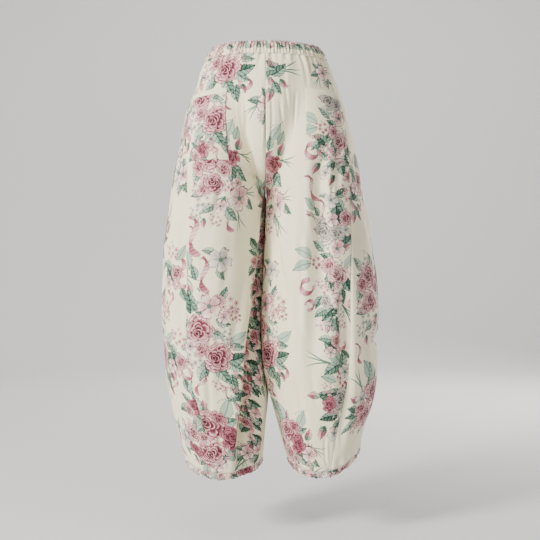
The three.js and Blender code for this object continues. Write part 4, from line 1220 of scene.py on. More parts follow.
@dataclass(frozen=True)
class TrailScreen(Screen):
    """What trails from a bouquet: ribbon tails and loops, blades of grass, and dotted stalks."""

    name: str = "trail"
    pinks: tuple[str, ...] = ("#7B3446", "#A85F70", "#CB9097", "#ECD0C8")
    greens: tuple[str, ...] = ("#335A4B", "#7DA38F")

    def draw(self, tree: NodeTree, at: dict[str, NodeSocket]) -> tuple[NodeSocket, NodeSocket]:
        """Draws the motif whose number the stamp names.

        Args:
            tree: the node tree.
            at: the sockets that Screen.draw names.

        Returns:
            How much of the ink shows, and its colour.
        """
        work_out(
            tree, at,
            tail_off="abs(y - 0.26 * sin(3.1 * x) * (1.1 - 0.3 * x))",
            tail_half="(0.07 + 0.13 * abs(cos(3.3 * x + 0.6))) * ramp(1 - abs(x), 0, 0.08)",
            tail="near(kind, 0) * ramp(tail_half - tail_off, 0, 0.03)",
            far="sqrt(x * x + y * y)",
            turn="atan(y, x)",
            loop_half="(0.09 + 0.19 * abs(cos(1.15 * turn + 0.5))) * ramp(2.7 - abs(turn), 0, 0.2)",
            loop_off="abs(far - 0.62)",
            loop="near(kind, 2) * ramp(loop_half - loop_off, 0, 0.03)",
            run="x * 15 * near(kind, 0) + turn * 8 * near(kind, 2)",
            half="max(tail_half * near(kind, 0), loop_half * near(kind, 2))",
            light="0.55 + 0.14 * sin(2.6 * run) + 0.3 * sin(run / 3 + 2) + 0.4 * (tone - 0.4)"
            " - 0.6 * ramp(half, 0.13, 0.06)",
            lift="(x + 1) * (x + 1)",
            thin="0.045 * ramp(1 - x, 0, 0.6) + 0.012",
            blade_off="min(min(abs(y + 0.16 * lift), abs(y - 0.03 * lift)), abs(y - 0.14 * lift))",
            blades="near(kind, 1) * (abs(x) < 1) * ramp(thin - blade_off, 0, 0.02)",
            dots="near(kind, 3) * ramp(0.09 - abs(y - 0.2 * sin(2.4 * x)), 0, 0.04)"
            " * ramp(sin(20 * x), 0.1, 0.4) * (abs(x) < 1)",
            shade="tone + 0.6 * waver",
            ribbon="max(tail, loop)",
            cover="max(ribbon, max(blades, dots))",
        )
        green = add(tree, "ShaderNodeValToRGB", {0: at["shade"]}, stops=self.greens).outputs[0]
        pink = add(tree, "ShaderNodeValToRGB", {0: at["light"]}, stops=self.pinks).outputs[0]
        inks = {0: at["ribbon"], 6: green, 7: pink}
        return at["cover"], add(tree, "ShaderNodeMix", inks, data_type="RGBA").outputs[2]


@dataclass(frozen=True)
class FloralCotton:
    """Plain-woven cotton, screen printed with flowers: matt, with a faint sheen and crisp small slubs.

    The reverse side shows the print paler, as it has only soaked through.
    """

    name: str
    ground: str = "#F8F0D0"
    worn_ground: str = "#EEE5C2"
    reverse_ground: str = "#E0DAC5"
    reverse: bool = False

    def printed(self, tree: NodeTree, colour: NodeSocket, screens: dict[str, NodeTree]) -> NodeSocket:
        """Prints all layers over a colour.

        Args:
            tree: the material's node tree.
            colour: the ground's colour.
            screens: the node group of each screen.

        Returns:
            The printed colour.
        """
        for name, count in LAYERS.items():
            for i in range(count):
                place = add(tree, "ShaderNodeAttribute", attribute_name=f"{name}_{i}").outputs["Vector"]
                layer = add(tree, "ShaderNodeGroup", node_tree=screens[name])
                tree.links.new(colour, layer.inputs[0])
                tree.links.new(place, layer.inputs[1])
                colour = layer.outputs[0]
        return colour

    def make(self, screens: dict[str, NodeTree]) -> Material:
        """Makes the material.

        Args:
            screens: the node group of each screen of the print.

        Returns:
            The material.
        """
        material = bpy.data.materials.new(self.name)
        material.use_nodes = True
        tree = material.node_tree
        tree.nodes.clear()
        place = add(tree, "ShaderNodeTexCoord").outputs["Object"]
        cloth = add(tree, "ShaderNodeUVMap", uv_map="cloth").outputs[0]
        # Faint unevenness of the ground over a hand's width.
        stain = add(tree, "ShaderNodeTexNoise", {"Vector": place, "Scale": 14.0, "Detail": 3.0}).outputs[0]
        worn = formula(tree, "0.6 * ramp(s, 0.4, 0.75)", s=stain)
        inks = {0: worn, 6: self.ground, 7: self.worn_ground}
        colour = add(tree, "ShaderNodeMix", inks, data_type="RGBA").outputs[2]
        colour = self.printed(tree, colour, screens)
        if self.reverse:
            inks = {0: 0.62, 6: colour, 7: self.reverse_ground}
            colour = add(tree, "ShaderNodeMix", inks, data_type="RGBA").outputs[2]
        # Threads are 0.45 mm apart in such cotton, and are drawn 0.9 mm apart so that they show.
        threads = add(tree, "ShaderNodeSeparateXYZ", {0: cloth}).outputs
        pitch = math.pi / (0.9 * MM)
        weave = formula(tree, f"sin(u * {pitch}) * sin(v * {pitch})", u=threads[0], v=threads[1])
        slub = add(tree, "ShaderNodeTexNoise", {"Vector": cloth, "Scale": 420.0, "Detail": 2.0}).outputs[0]
        height = formula(tree, "0.5 + 0.25 * w + 0.5 * s", w=weave, s=slub)
        bump = add(tree, "ShaderNodeBump", {"Strength": 0.5, "Distance": 0.12 * MM, "Height": height})
        looks = {
            "Base Color": colour,
            "Roughness": formula(tree, "0.8 + 0.12 * s", s=slub),
            "Normal": bump.outputs[0],
            "Sheen Weight": 0.12,
            "Sheen Roughness": 0.5,
            "Specular IOR Level": 0.25,
        }
        shader = add(tree, "ShaderNodeBsdfPrincipled", looks)
        add(tree, "ShaderNodeOutputMaterial", {"Surface": shader.outputs[0]})
        return material


@dataclass(frozen=True)
class SpunThread:
    """Ivory spun sewing thread: matt, slightly fuzzy, with a fine twist."""

    name: str
    colour: str = "#EFE9D6"

    def make(self) -> Material:
        """Makes the material.

        Returns:
            The material.
        """
        material = bpy.data.materials.new(self.name)
        material.use_nodes = True
        tree = material.node_tree
        tree.nodes.clear()
        place = add(tree, "ShaderNodeTexCoord").outputs["Object"]
        # The plies lie 0.4 mm apart.
        plies = add(tree, "ShaderNodeTexNoise", {"Vector": place, "Scale": 2500.0, "Detail": 1.0}).outputs[0]
        bump = add(tree, "ShaderNodeBump", {"Strength": 0.4, "Distance": 0.05 * MM, "Height": plies})
        rough = formula(tree, "0.75 + 0.2 * p", p=plies)
        looks = {
            "Base Color": self.colour,
            "Roughness": rough,
            "Normal": bump.outputs[0],
            "Sheen Weight": 0.2,
        }
        shader = add(tree, "ShaderNodeBsdfPrincipled", looks)
        add(tree, "ShaderNodeOutputMaterial", {"Surface": shader.outputs[0]})
        return material


# ---- meshes ----


@dataclass
class Shell:
    """A thin closed wall of cloth from a grid of points.

    A grid runs down its rows and across its columns. On a ring the last column is the first one again.
    outer and inner are the points of its two sides and flat their places on the flat cloth, all in
    millimetres. The first bare_rows carry no print.
    """

    name: str
    outer: np.ndarray
    inner: np.ndarray
    flat: np.ndarray
    is_ring: bool = False
    bare_rows: int = 0

    def corners(self) -> tuple[np.ndarray, np.ndarray, np.ndarray]:
        """Lists the faces.

        Returns:
            Vertex numbers, grid places and sides (0 outer, 1 inner, 2 rim) of the faces' corners.
        """
        rows, columns = self.flat.shape[:2]
        here = (np.arange(rows - 1)[:, None] * columns + np.arange(columns - 1)).ravel()
        quad = np.stack([here, here + columns, here + columns + 1, here + 1], 1)
        size = rows * columns
        top = np.arange(columns - 1)
        bottom = top + (rows - 1) * columns
        faces = [
            quad,
            quad[:, ::-1] + size,
            np.stack([top, top + 1, top + 1 + size, top + size], 1),
            np.stack([bottom, bottom + size, bottom + 1 + size, bottom + 1], 1),
        ]
        if not self.is_ring:
            left = np.arange(rows - 1) * columns
            right = left + columns - 1
            faces.append(np.stack([left, left + size, left + columns + size, left + columns], 1))
            faces.append(np.stack([right, right + columns, right + columns + size, right + size], 1))
        grid = np.concatenate(faces)
        side = np.concatenate([np.full(len(f), min(i, 2)) for i, f in enumerate(faces)])
        vertex = grid
        if self.is_ring:
            layer, rest = np.divmod(grid, size)
            row, column = np.divmod(rest, columns)
            vertex = layer * rows * (columns - 1) + row * (columns - 1) + column % (columns - 1)
        return vertex, grid % size, side

    def build(self, places: Iterable[Place]) -> Object:
        """Makes the object, with its flat cloth, its print and its map for baking.

        Args:
            places: the bouquets on the piece.

        Returns:
            The object.
        """
        vertex, grid, side = self.corners()
        outer, inner = self.outer, self.inner
        if self.is_ring:
            outer, inner = outer[:, :-1], inner[:, :-1]
        points = np.concatenate([outer.reshape(-1, 3), inner.reshape(-1, 3)]) * MM
        first = points[vertex[:, 0]]
        across = np.cross(points[vertex[:, 1]] - first, points[vertex[:, 2]] - first)
        if np.einsum("ij,ij->", first, across) < 0:
            vertex, grid = vertex[:, ::-1], grid[:, ::-1]
        mesh = bpy.data.meshes.new(self.name)
        mesh.from_pydata(points, [], vertex.tolist())
        mesh.update()
        flat = self.flat.reshape(-1, 2)[grid]
        bare = (grid // self.flat.shape[1] < self.bare_rows).any(axis=1)
        for name, values in print_layers(flat, places).items():
            values[bare] = NOWHERE
            layer = mesh.attributes.new(name, "FLOAT_VECTOR", "CORNER")
            layer.data.foreach_set("vector", values.ravel())
        mesh.uv_layers.new(name="cloth").data.foreach_set("uv", (flat * MM).astype(np.float32).ravel())
        low, high = self.flat.reshape(-1, 2).min(axis=0), self.flat.reshape(-1, 2).max(axis=0)
        spread = (flat - low) / (high - low)
        # The right side fills one half of the map, the reverse the other, and the rims a strip at the edge.
        spread[..., 0] = 0.01 + 0.47 * spread[..., 0] + 0.5 * (side == 1)[:, None]
        spread[..., 1] = 0.03 + 0.96 * spread[..., 1]
        rim = side == 2
        spread[rim, :, 0] = 0.02 + 0.96 * np.linspace(0, 1, rim.sum())[:, None]
        spread[rim, :, 0] += np.array([0, 0, 1, 1]) * 1e-4
        spread[rim, :, 1] = 0.01 + np.array([0, 1, 1, 0]) * 0.008
        mesh.uv_layers.new(name="OFBake").data.foreach_set("uv", spread.astype(np.float32).ravel())
        mesh.uv_layers.active = mesh.uv_layers["cloth"]
        mesh.polygons.foreach_set("material_index", np.minimum(side, 1).astype(np.int32) * (side < 2))
        mesh.polygons.foreach_set("use_smooth", side < 2)
        piece = bpy.data.objects.new(self.name, mesh)
        bpy.context.scene.collection.objects.link(piece)
        return piece


def flat_places(points: np.ndarray, middle: int, side: int) -> np.ndarray:
    """Lays a grid of points flat, as seen from outside: to the right of its middle column and down along it.

    Args:
        points: rows by columns by 3, in millimetres.
        middle: the column from which the rows are measured.
        side: 1 if the columns run to the left, as on the left leg, and -1 if they run to the right.

    Returns:
        Rows by columns by 2, in millimetres.
    """
    across = np.linalg.norm(np.diff(points, axis=1), axis=-1).cumsum(axis=1)
    across = np.concatenate([np.zeros((len(points), 1)), across], axis=1)
    across -= across[:, middle : middle + 1]
    down = np.linalg.norm(np.diff(points[:, middle], axis=0), axis=-1).cumsum()
    down = np.concatenate([[0], down])
    return np.stack([-side * across, np.broadcast_to(down[:, None], across.shape)], axis=-1)


def surface_area(obj: Object) -> float:
    """The area of one side of a thin closed wall, in square metres."""
    return sum(face.area for face in obj.data.polygons) / 2


@dataclass(frozen=True)
class Cottons:
    """The two sides of the cloth, and its sewing thread."""

    face: Material
    reverse: Material
    thread: Material

    def dress(self, piece: Object) -> None:
        """Gives a piece its right side and its reverse."""
        piece.data.materials.append(self.face)
        piece.data.materials.append(self.reverse)


def finish_piece(
    piece: Object, node: str, size: Sequence[float], trims: Sequence[Object] = ()
) -> None:
    """Attaches a cloth piece and its trims to the root, hides the node of the frame that it stands for, and
    logs its faces and area.

    Args:
        piece: the piece.
        node: the node that it stands for.
        size: width and length of its cut, in millimetres.
        trims: the separate pieces on it.
    """
    for each in (piece, *trims):
        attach(each, "root")
    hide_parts(node)
    flat = (float(size[0]) * MM, float(size[1]) * MM)
    area = min(surface_area(piece), flat[0] * flat[1])
    LOG.info("%s: %d faces, %.3f m2", piece.name, len(piece.data.polygons), area)


@dataclass
class Stitching:
    """Rows of machine stitches, each a slim lozenge of thread that lies on the cloth.

    A stitch points the way in which its line runs look_ahead before and behind its middle.
    """

    name: str
    pitch: float = 3.4
    length: float = 2.6
    width: float = 0.55
    height: float = 0.38
    look_ahead: float = 0.8

    def row(self, on: np.ndarray, above: np.ndarray) -> np.ndarray:
        """Makes one row.

        Args:
            on: points of its line on the cloth.
            above: the same points, further out from the cloth.

        Returns:
            The stitches' corners, stitches by 6 by 3: two ends, two sides, top and bottom.
        """
        run = np.concatenate([[0], np.linalg.norm(np.diff(on, axis=0), axis=1).cumsum()])
        middles = np.arange(self.pitch / 2, run[-1], self.pitch)

        def read(values: np.ndarray, ahead: float = 0.0) -> np.ndarray:
            """Reads values of the line at the stitches' middles, or ahead of them."""
            return np.stack([np.interp(middles + ahead, run, values[:, i]) for i in range(3)], axis=1)

        at = read(on)
        out = unit(read(above - on))
        way = unit(read(on, self.look_ahead) - read(on, -self.look_ahead))
        side = np.cross(way, out)
        half = way * self.length / 2
        flank = side * self.width / 2
        return np.stack([at - half, at + half, at - flank, at + flank, at + out * self.height, at], axis=1)

    def build(self, rows: Iterable[tuple[np.ndarray, np.ndarray]], thread: Material) -> Object:
        """Makes one object of all rows.

        Args:
            rows: for each row, points of its line on the cloth, and the same points further out.
            thread: its material.

        Returns:
            The object.
        """
        corners = np.concatenate([self.row(on, above) for on, above in rows])
        first = np.arange(len(corners))[:, None, None] * 6
        upper = [[0, 4, 3], [0, 2, 4], [1, 3, 4], [1, 4, 2]]
        lower = [[0, 3, 5], [0, 5, 2], [1, 5, 3], [1, 2, 5]]
        facets = np.array(upper + lower)
        mesh = bpy.data.meshes.new(self.name)
        mesh.from_pydata(corners.reshape(-1, 3) * MM, [], (first + facets).reshape(-1, 3).tolist())
        mesh.update()
        mesh.materials.append(thread)
        stitches = bpy.data.objects.new(self.name, mesh)
        bpy.context.scene.collection.objects.link(stitches)
        return stitches


@dataclass
class LegPanel:
    """A front or back leg panel.

    Its edges bend in by roll, over roll_width from each seam. width is roughly the panel's own, by which
    that strip is found.
    """

    leg: Leg
    is_back: bool
    places: Sequence[Place]
    width: float = 340.0
    row_step: float = 3.5
    columns: int = 140
    roll: float = 1.0
    roll_width: float = 4.0

    def angles(self, drop: np.ndarray) -> np.ndarray:
        """The angles of the panel's columns at each drop, seam to seam.

        Args:
            drop: one for each row.

        Returns:
            Degrees, rows by columns.
        """
        inseam, side = self.leg.inseam(drop), along(SIDE_SEAM, "angle", drop)
        start, end = (inseam, side) if self.is_back else (side, inseam + FULL_TURN)
        gap = self.gap_turn(drop)
        above_crotch = drop < CROTCH_DROP
        start = start + np.where(above_crotch & self.is_back, 0, gap)
        end = end - np.where(above_crotch & (not self.is_back), 0, gap)
        share = self.shares()
        return start[:, None] + (end - start)[:, None] * share[None, :]

    def gap_turn(self, drop: np.ndarray) -> np.ndarray:
        """Degrees that cover half the seen gap at the side seam.

        Args:
            drop: millimetres.

        Returns:
            Degrees at each drop.
        """
        side = along(SIDE_SEAM, "angle", drop)
        length = np.linalg.norm(self.leg.plain(side + 0.5, drop) - self.leg.plain(side - 0.5, drop), axis=-1)
        return SEEN_GAP / 2 / length

    def shares(self) -> np.ndarray:
        """Where the columns stand from seam to seam, closer together at the seams.

        Returns:
            Shares of the width.
        """
        inner = np.linspace(0, 1, self.columns)
        close = np.array([0.0, 0.0016, 0.004, 0.007])
        return np.unique(np.concatenate([close, inner[1:-1], 1 - close]))

    def drops(self) -> np.ndarray:
        """The drops of the rows, closer together round the crotch.

        Returns:
            Drops from the top row down.
        """
        top, bottom = BAND_BOTTOM + SEEN_GAP, HEM_TOP - SEEN_GAP
        count = int((bottom - top) / self.row_step)
        even = np.linspace(top, bottom, count)
        near = CROTCH_DROP - np.array([12, 8, 5, 3, 1.6, 0.7, 0, -0.8, -2, -4, -7])
        return np.unique(np.round(np.concatenate([even[np.abs(even - CROTCH_DROP) > 13], near]), 3))

    def build(self, cottons: Cottons) -> Object:
        """Args:
            cottons: the cloth and its thread.

        Returns:
            The panel.
        """
        drop = self.drops()
        angle = self.angles(drop)
        drops = np.broadcast_to(drop[:, None], angle.shape)
        share = self.shares()
        to_edge = np.minimum(share, 1 - share) * self.width
        roll = -self.roll * (1 - smooth(to_edge / self.roll_width))
        roll = np.broadcast_to(roll[None, :], angle.shape)
        outer = self.leg.points(angle, drops, roll)
        inner = self.leg.points(angle, drops, roll - CLOTH)
        flat = flat_places(outer, len(share) // 2, self.leg.side)
        part = "back" if self.is_back else "front"
        piece = Shell(f"{self.leg.name}_{part}_cotton", outer, inner, flat).build(self.places)
        cottons.dress(piece)
        size = np.ptp(flat.reshape(-1, 2), axis=0)
        finish_piece(piece, f"{self.leg.name}_{part}", size)
        return piece


@dataclass
class Waistband:
    """The elastic casing at the waist, a band gathered all round.

    fullness is how much longer the flat band is than the drawn one, measured over its gathers.
    """

    places: Sequence[Place]
    gathers: int = 54
    per_gather: int = 8
    row_count: int = 17
    fullness: float = 1.15
    seam_at: float = 10.5

    def points(self, leg: Leg, angle: np.ndarray, drop: np.ndarray, out: float) -> np.ndarray:
        """Points of one half of the band, moved out from its face.

        Args:
            leg: the half.
            angle: degrees.
            drop: millimetres.
            out: millimetres out from its face.

        Returns:
            Points in millimetres.
        """
        plain = leg.plain(angle, drop)
        outward = leg.level_normal(np.clip(angle, SEAM_CLEARANCE, FULL_TURN - SEAM_CLEARANCE), drop)
        on_seam = (angle == 0) | (angle == FULL_TURN)
        plain[..., 0] = np.where(on_seam, 0, plain[..., 0])
        outward[..., 0] = np.where(on_seam, 0, outward[..., 0])
        point = plain + outward * (self.height(leg, angle, drop) + out)[..., None]
        # The gathers push the upper edge up and down a little.
        edge = smooth((BAND_TOP + 7 - drop) / 7)
        point[..., 2] += edge * 1.3 * np.cos(self.phase(leg, angle) * 2 + 0.6)
        return point

    def phase(self, leg: Leg, angle: np.ndarray) -> np.ndarray:
        """How far round the gathers an angle is, in half turns of a gather, unevenly spaced.

        Args:
            leg: the half.
            angle: degrees.

        Returns:
            Radians, half a turn of which is one gather.
        """
        turn = np.radians(angle)
        wander = 0.16 * np.sin(3 * turn) + 0.09 * np.sin(7 * turn * leg.side) + 0.05 * np.sin(16 * turn)
        return (turn + wander * np.sin(turn / 2)) * self.gathers / 2

    def height(self, leg: Leg, angle: np.ndarray, drop: np.ndarray) -> np.ndarray:
        """How far the casing stands out: full gathers with sharp valleys, tight at the stitching.

        Args:
            leg: the half.
            angle: degrees.
            drop: millimetres.

        Returns:
            Millimetres out from the plain leg.
        """
        share = np.clip((drop - BAND_TOP) / BAND_HEIGHT, 0, 1)
        turn = np.radians(angle)
        slant = (share - 0.5) * (1.1 * np.sin(11 * turn + leg.side) + 0.9 * np.sin(19 * turn))
        wave = np.abs(np.cos(self.phase(leg, angle) + slant))
        size = 0.75 + 0.3 * np.sin(13 * turn + 2 + 3 * share) + 0.25 * np.sin(29 * turn - 4 * share)
        tight = 1 - 0.6 * np.exp(-(((drop - self.seam_at) / 1.6) ** 2))
        tight = tight - 0.35 * np.exp(-(((drop - BAND_TOP - 4) / 1.5) ** 2))
        swell = 0.6 + 1.7 * np.sin(math.pi * share) ** 0.6
        return (swell + 6.0 * size * (wave**0.8 - 0.5)) * tight

    def build(self, cottons: Cottons) -> Object:
        """Args:
            cottons: the cloth and its thread.

        Returns:
            The waistband.
        """
        half = np.linspace(0, FULL_TURN, self.gathers * self.per_gather + 1)
        rows = np.linspace(BAND_TOP, BAND_BOTTOM, self.row_count)
        grids = []
        for out in (0.0, -CLOTH):
            left = self.points(LEFT_LEG, *np.meshgrid(half, rows), out)
            right = self.points(RIGHT_LEG, *np.meshgrid(half[::-1], rows), out)
            grids.append(np.concatenate([left, right[:, 1:]], axis=1))
        outer, inner = grids
        flat = flat_places(outer, 0, 1)
        flat[..., 0] = self.fullness * flat[..., 0].mean(axis=0)
        piece = Shell("waistband_cotton", outer, inner, flat, is_ring=True).build(self.places)
        cottons.dress(piece)
        lines = []
        for leg in (LEFT_LEG, RIGHT_LEG):
            drop = np.full(half.shape, self.seam_at)
            lines.append((self.points(leg, half, drop, 0.05), self.points(leg, half, drop, 1.0)))
        stitches = Stitching("waistband_stitches").build(lines, cottons.thread)
        size = (np.ptp(flat[..., 0]), BAND_HEIGHT)
        finish_piece(piece, "waistband", size, [stitches])
        return piece


@dataclass
class HemBand:
    """The elastic casing at a hem, gathered as the waistband is."""

    leg: Leg
    places: Sequence[Place]
    gathers: int = 40
    per_gather: int = 10
    row_count: int = 11
    fullness: float = 1.15
    seam_at: float = HEM_TOP + 2.6

    def points(self, angle: np.ndarray, drop: np.ndarray, out: float) -> np.ndarray:
        """Points of the casing, moved out from its face.

        Args:
            angle: degrees.
            drop: millimetres.
            out: millimetres out from its face.

        Returns:
            Points in millimetres.
        """
        outward = self.leg.level_normal(angle, drop)
        share = np.clip((drop - HEM_TOP) / HEM_HEIGHT, 0, 1)
        turn = np.radians(angle)
        wander = 0.14 * np.sin(2 * turn) + 0.08 * np.sin(5 * turn + 1) + 0.05 * np.sin(11 * turn)
        phase = (turn + wander) * self.gathers / 2
        size = 0.7 + 0.3 * np.sin(7 * turn + 2)
        tight = 1 - 0.6 * np.exp(-(((drop - self.seam_at) / 1.3) ** 2))
        swell = 0.4 + 1.1 * np.sin(math.pi * share) ** 0.7
        slant = (share - 0.5) * (1.2 * np.sin(9 * turn) + 0.8 * np.sin(17 * turn + 1))
        height = (swell + 3.4 * size * (np.abs(np.cos(phase + slant)) ** 0.8 - 0.5)) * tight
        height = self.leg.fold_height(angle, drop) + height + out
        point = self.leg.plain(angle, drop) + outward * height[..., None]
        flutter = 1.2 * np.cos(2 * phase + 0.8) + 0.8 * np.sin(7 * turn)
        point[..., 2] += smooth((share - 0.5) / 0.5) * flutter
        return point

    def build(self, cottons: Cottons) -> Object:
        """Args:
            cottons: the cloth and its thread.

        Returns:
            The casing.
        """
        angle = np.linspace(0, FULL_TURN, self.gathers * self.per_gather + 1)
        grid = np.meshgrid(angle, np.linspace(HEM_TOP, HEM_DROP, self.row_count))
        outer = self.points(*grid, 0.0)
        inner = self.points(*grid, -CLOTH)
        flat = flat_places(outer, 0, self.leg.side)
        flat[..., 0] = self.fullness * flat[..., 0].mean(axis=0)
        piece = Shell(f"{self.leg.name}_hem_cotton", outer, inner, flat, is_ring=True).build(self.places)
        cottons.dress(piece)
        drop = np.full(angle.shape, self.seam_at)
        lines = [(self.points(angle, drop, 0.05), self.points(angle, drop, 1.0))]
        stitches = Stitching(f"{self.leg.name}_hem_stitches").build(lines, cottons.thread)
        size = (np.ptp(flat[..., 0]), HEM_HEIGHT)
        finish_piece(piece, f"{self.leg.name}_hem_band", size, [stitches])
        return piece


@dataclass
class PatchPocket:
    """A patch pocket on a back panel, with a plain turned hem at its mouth."""

    leg: Leg
    places: Sequence[Place]
    top_at_inner: float = 92.0
    top_at_seam: float = 100.0
    lowest: float = 250.0
    mouth_hem: float = 11.0
    gape: float = 3.0

    def points(self, u: np.ndarray, v: np.ndarray, out: float) -> np.ndarray:
        """Points of the pocket, moved out from its middle. u goes from its inner edge out, and v down it.

        Args:
            u: shares of its width.
            v: shares of its height.
            out: millimetres out.

        Returns:
            Points in millimetres.
        """
        top = self.top_at_inner + (self.top_at_seam - self.top_at_inner) * u
        drop = top + (self.lowest - top) * v
        inner_edge = along(POCKET_EDGE, "angle", drop)
        seam = along(SIDE_SEAM, "angle", drop) - 0.3
        from_top = drop - top
        opened = (1 - smooth(from_top / 34)) * (0.25 + np.sin(math.pi * u) * 0.75)
        sewn = np.minimum(np.minimum(u, 1 - u) * 100, (1 - v) * 150)
        turned = 0.7 * (from_top < self.mouth_hem + 0.1)
        lift = 0.65 + 1.5 * smooth(sewn / 26) + self.gape * opened + turned
        thick = np.where(out < 0, 1 + 1.7 * turned, 1)
        return self.leg.points(inner_edge + (seam - inner_edge) * u, drop, lift + out * thick)

    def build(self, cottons: Cottons) -> Object:
        """Args:
            cottons: the cloth and its thread.

        Returns:
            The pocket.
        """
        across = np.linspace(0, 1, 40)
        hem = self.mouth_hem / (self.lowest - self.top_at_inner)
        mouth = [0, 0.006, 0.02, 0.045, hem - 0.004, hem + 0.003]
        down = np.concatenate([mouth, np.linspace(0.085, 0.985, 42), [1.0]])
        u, v = np.meshgrid(across, down)
        outer = self.points(u, v, CLOTH / 2)
        inner = self.points(u, v, -CLOTH / 2)
        flat = flat_places(outer, len(across) // 2, self.leg.side)
        piece = Shell(f"{self.leg.name}_pocket_cotton", outer, inner, flat, bare_rows=5).build(self.places)
        cottons.dress(piece)
        # Two rows down the inner edge and one down the side seam, then two along the bottom and one that
        # holds the hem at the mouth.
        run = np.linspace(0.02, 0.98, 120)
        rows = [(np.full(run.shape, place), run) for place in (0.02, 0.075, 0.975)]
        rows += [(run, np.full(run.shape, place)) for place in (0.985, 0.95, hem - 0.012)]
        lines = []
        for row in rows:
            lines.append((self.points(*row, CLOTH / 2 + 0.05), self.points(*row, CLOTH / 2 + 1.0)))
        stitches = Stitching(f"{self.leg.name}_pocket_stitches").build(lines, cottons.thread)
        size = np.ptp(flat.reshape(-1, 2), axis=0)
        finish_piece(piece, f"{self.leg.name}_pocket", size, [stitches])
        return piece


# ---- where the bouquets lie ----

PLACES = {
    "left_back": table(
        # The stacks of dark leaves and petals towards the inseam are dark print, and also painted shade in the
        # valley between the legs.
        Place, ("peonies", -18, -10), ("posy", -28, 266), ("blossom", 96, 120, 60), ("spray", 110, 330, -30),
        ("streamer", -52, 452, 0, 1.2), ("dusk", 78, 470, 0, 0.8), ("loops", -120, 500),
        ("peonies", -45, 620), ("dusk", 150, 656, 4), ("dusk", 116, 752, 20, 0.8),
        ("dusk", 68, 842, 22, 0.85), ("peony", -82, 838, 0, 1.25), ("buds", 0, 780, 0),
        ("blossom", 24, 900, 20, 0.7),
    ),
    "right_back": table(
        Place, ("buds", -78, 76, 0, 1.2), ("blossom", 44, 40, 30, 0.8), ("posy", -97, 277),
        ("grey", 96, 210, 10), ("streamer", 60, 330, -10, 0.8), ("loops", 118, 360, 30), ("bow", 72, 488),
        ("streamer", -108, 470, 10), ("peonies", -104, 618), ("loops", 86, 628, -20, 0.8),
        ("grey", 102, 765, 0, 1.1), ("peony", -40, 852, 0, 1.05), ("streamer", -130, 790, 160),
        ("blossom", 20, 880, 40, 0.8),
    ),
    "left_front": table(
        # The first two stacks of dark leaves and petals, by the inseam, are dark print, and also painted shade
        # in the valley between the legs.
        Place, ("dusk", -258, 520, 0, 0.9), ("dusk", -268, 636, 0, 0.9), ("grey", -190, 150),
        ("posy", -190, 420), ("bow", -180, 700), ("spray", -100, 60, 30), ("peony", -30, 70),
        ("peonies", -20, 300), ("grey", -20, 560), ("posy", -10, 810), ("bow", 150, 170),
        ("peony", 140, 400), ("peonies", 150, 620), ("streamer", 150, 830, 20), ("loops", 244, 480),
        ("loops", 250, 670, 20), ("blossom", 230, 270, 60), ("spray", 254, 770, 30),
        ("peony", 226, 856, 160, 0.8), ("blossom", -110, 570, 20), ("buds", 70, 500, 30),
    ),
    "right_front": table(
        Place, ("loops", -205, 275), ("buds", -240, 345), ("streamer", -210, 120, 15), ("posy", -190, 520),
        ("peony", -185, 760), ("bow", -30, 110), ("grey", -40, 380), ("peonies", -20, 650),
        ("spray", -40, 850, 25), ("peonies", 140, 190), ("posy", 150, 450), ("bow", 150, 720),
        ("grey", 240, 330, 10), ("blossom", 60, 300, 30), ("blossom", -120, 240, 10), ("spray", 70, 560, 20),
    ),
    "left_pocket": table(
        Place, ("peonies", 8, 27), ("spray", -4, 140, 15),
    ),
    "right_pocket": table(
        Place, ("bow", 10, 116), ("buds", -14, 150, -20),
    ),
    "waistband": table(
        Place, ("garland", -40, 0), ("loops", -96, -4, 40, 0.8), ("garland", -150, 2, 180, 0.95),
        ("peonies", -236, 64), ("garland", -320, 0, 8), ("blossom", -410, 8), ("posy", -480, -30, 90),
        ("garland", -590, 2, 176), ("grey", -690, 0, 90), ("loops", -760, 0, 30), ("streamer", -810, 10, 20),
        ("bow", -880, 20, 100), ("spray", -960, 6, 80), ("garland", -1044, 2, 174),
        ("garland", -1128, -1, 4, 1.1), ("garland", -1204, 2, 178, 1.1), ("garland", -1278, 0, 2, 1.1),
    ),
    "left_hem": table(
        Place, ("blossom", -20, 6, 30, 0.8), ("garland", -64, 1), ("spray", -100, 4, 60),
        ("garland", -156, 0, 178), ("garland", -236, 1, 4, 0.9), ("grey", -330, 10, 80),
        ("blossom", -430, 8, 40), ("buds", -490, 6, 80),
    ),
    "right_hem": table(
        Place, ("garland", 20, 0, 176, 0.8), ("spray", 50, 6, 60), ("blossom", 110, 8, 10),
        ("buds", 160, 6, 70), ("bow", 220, -10, 80), ("garland", 306, 0, 6), ("posy", 420, 40, 90),
    ),
}


# ---- camera, light and surroundings ----


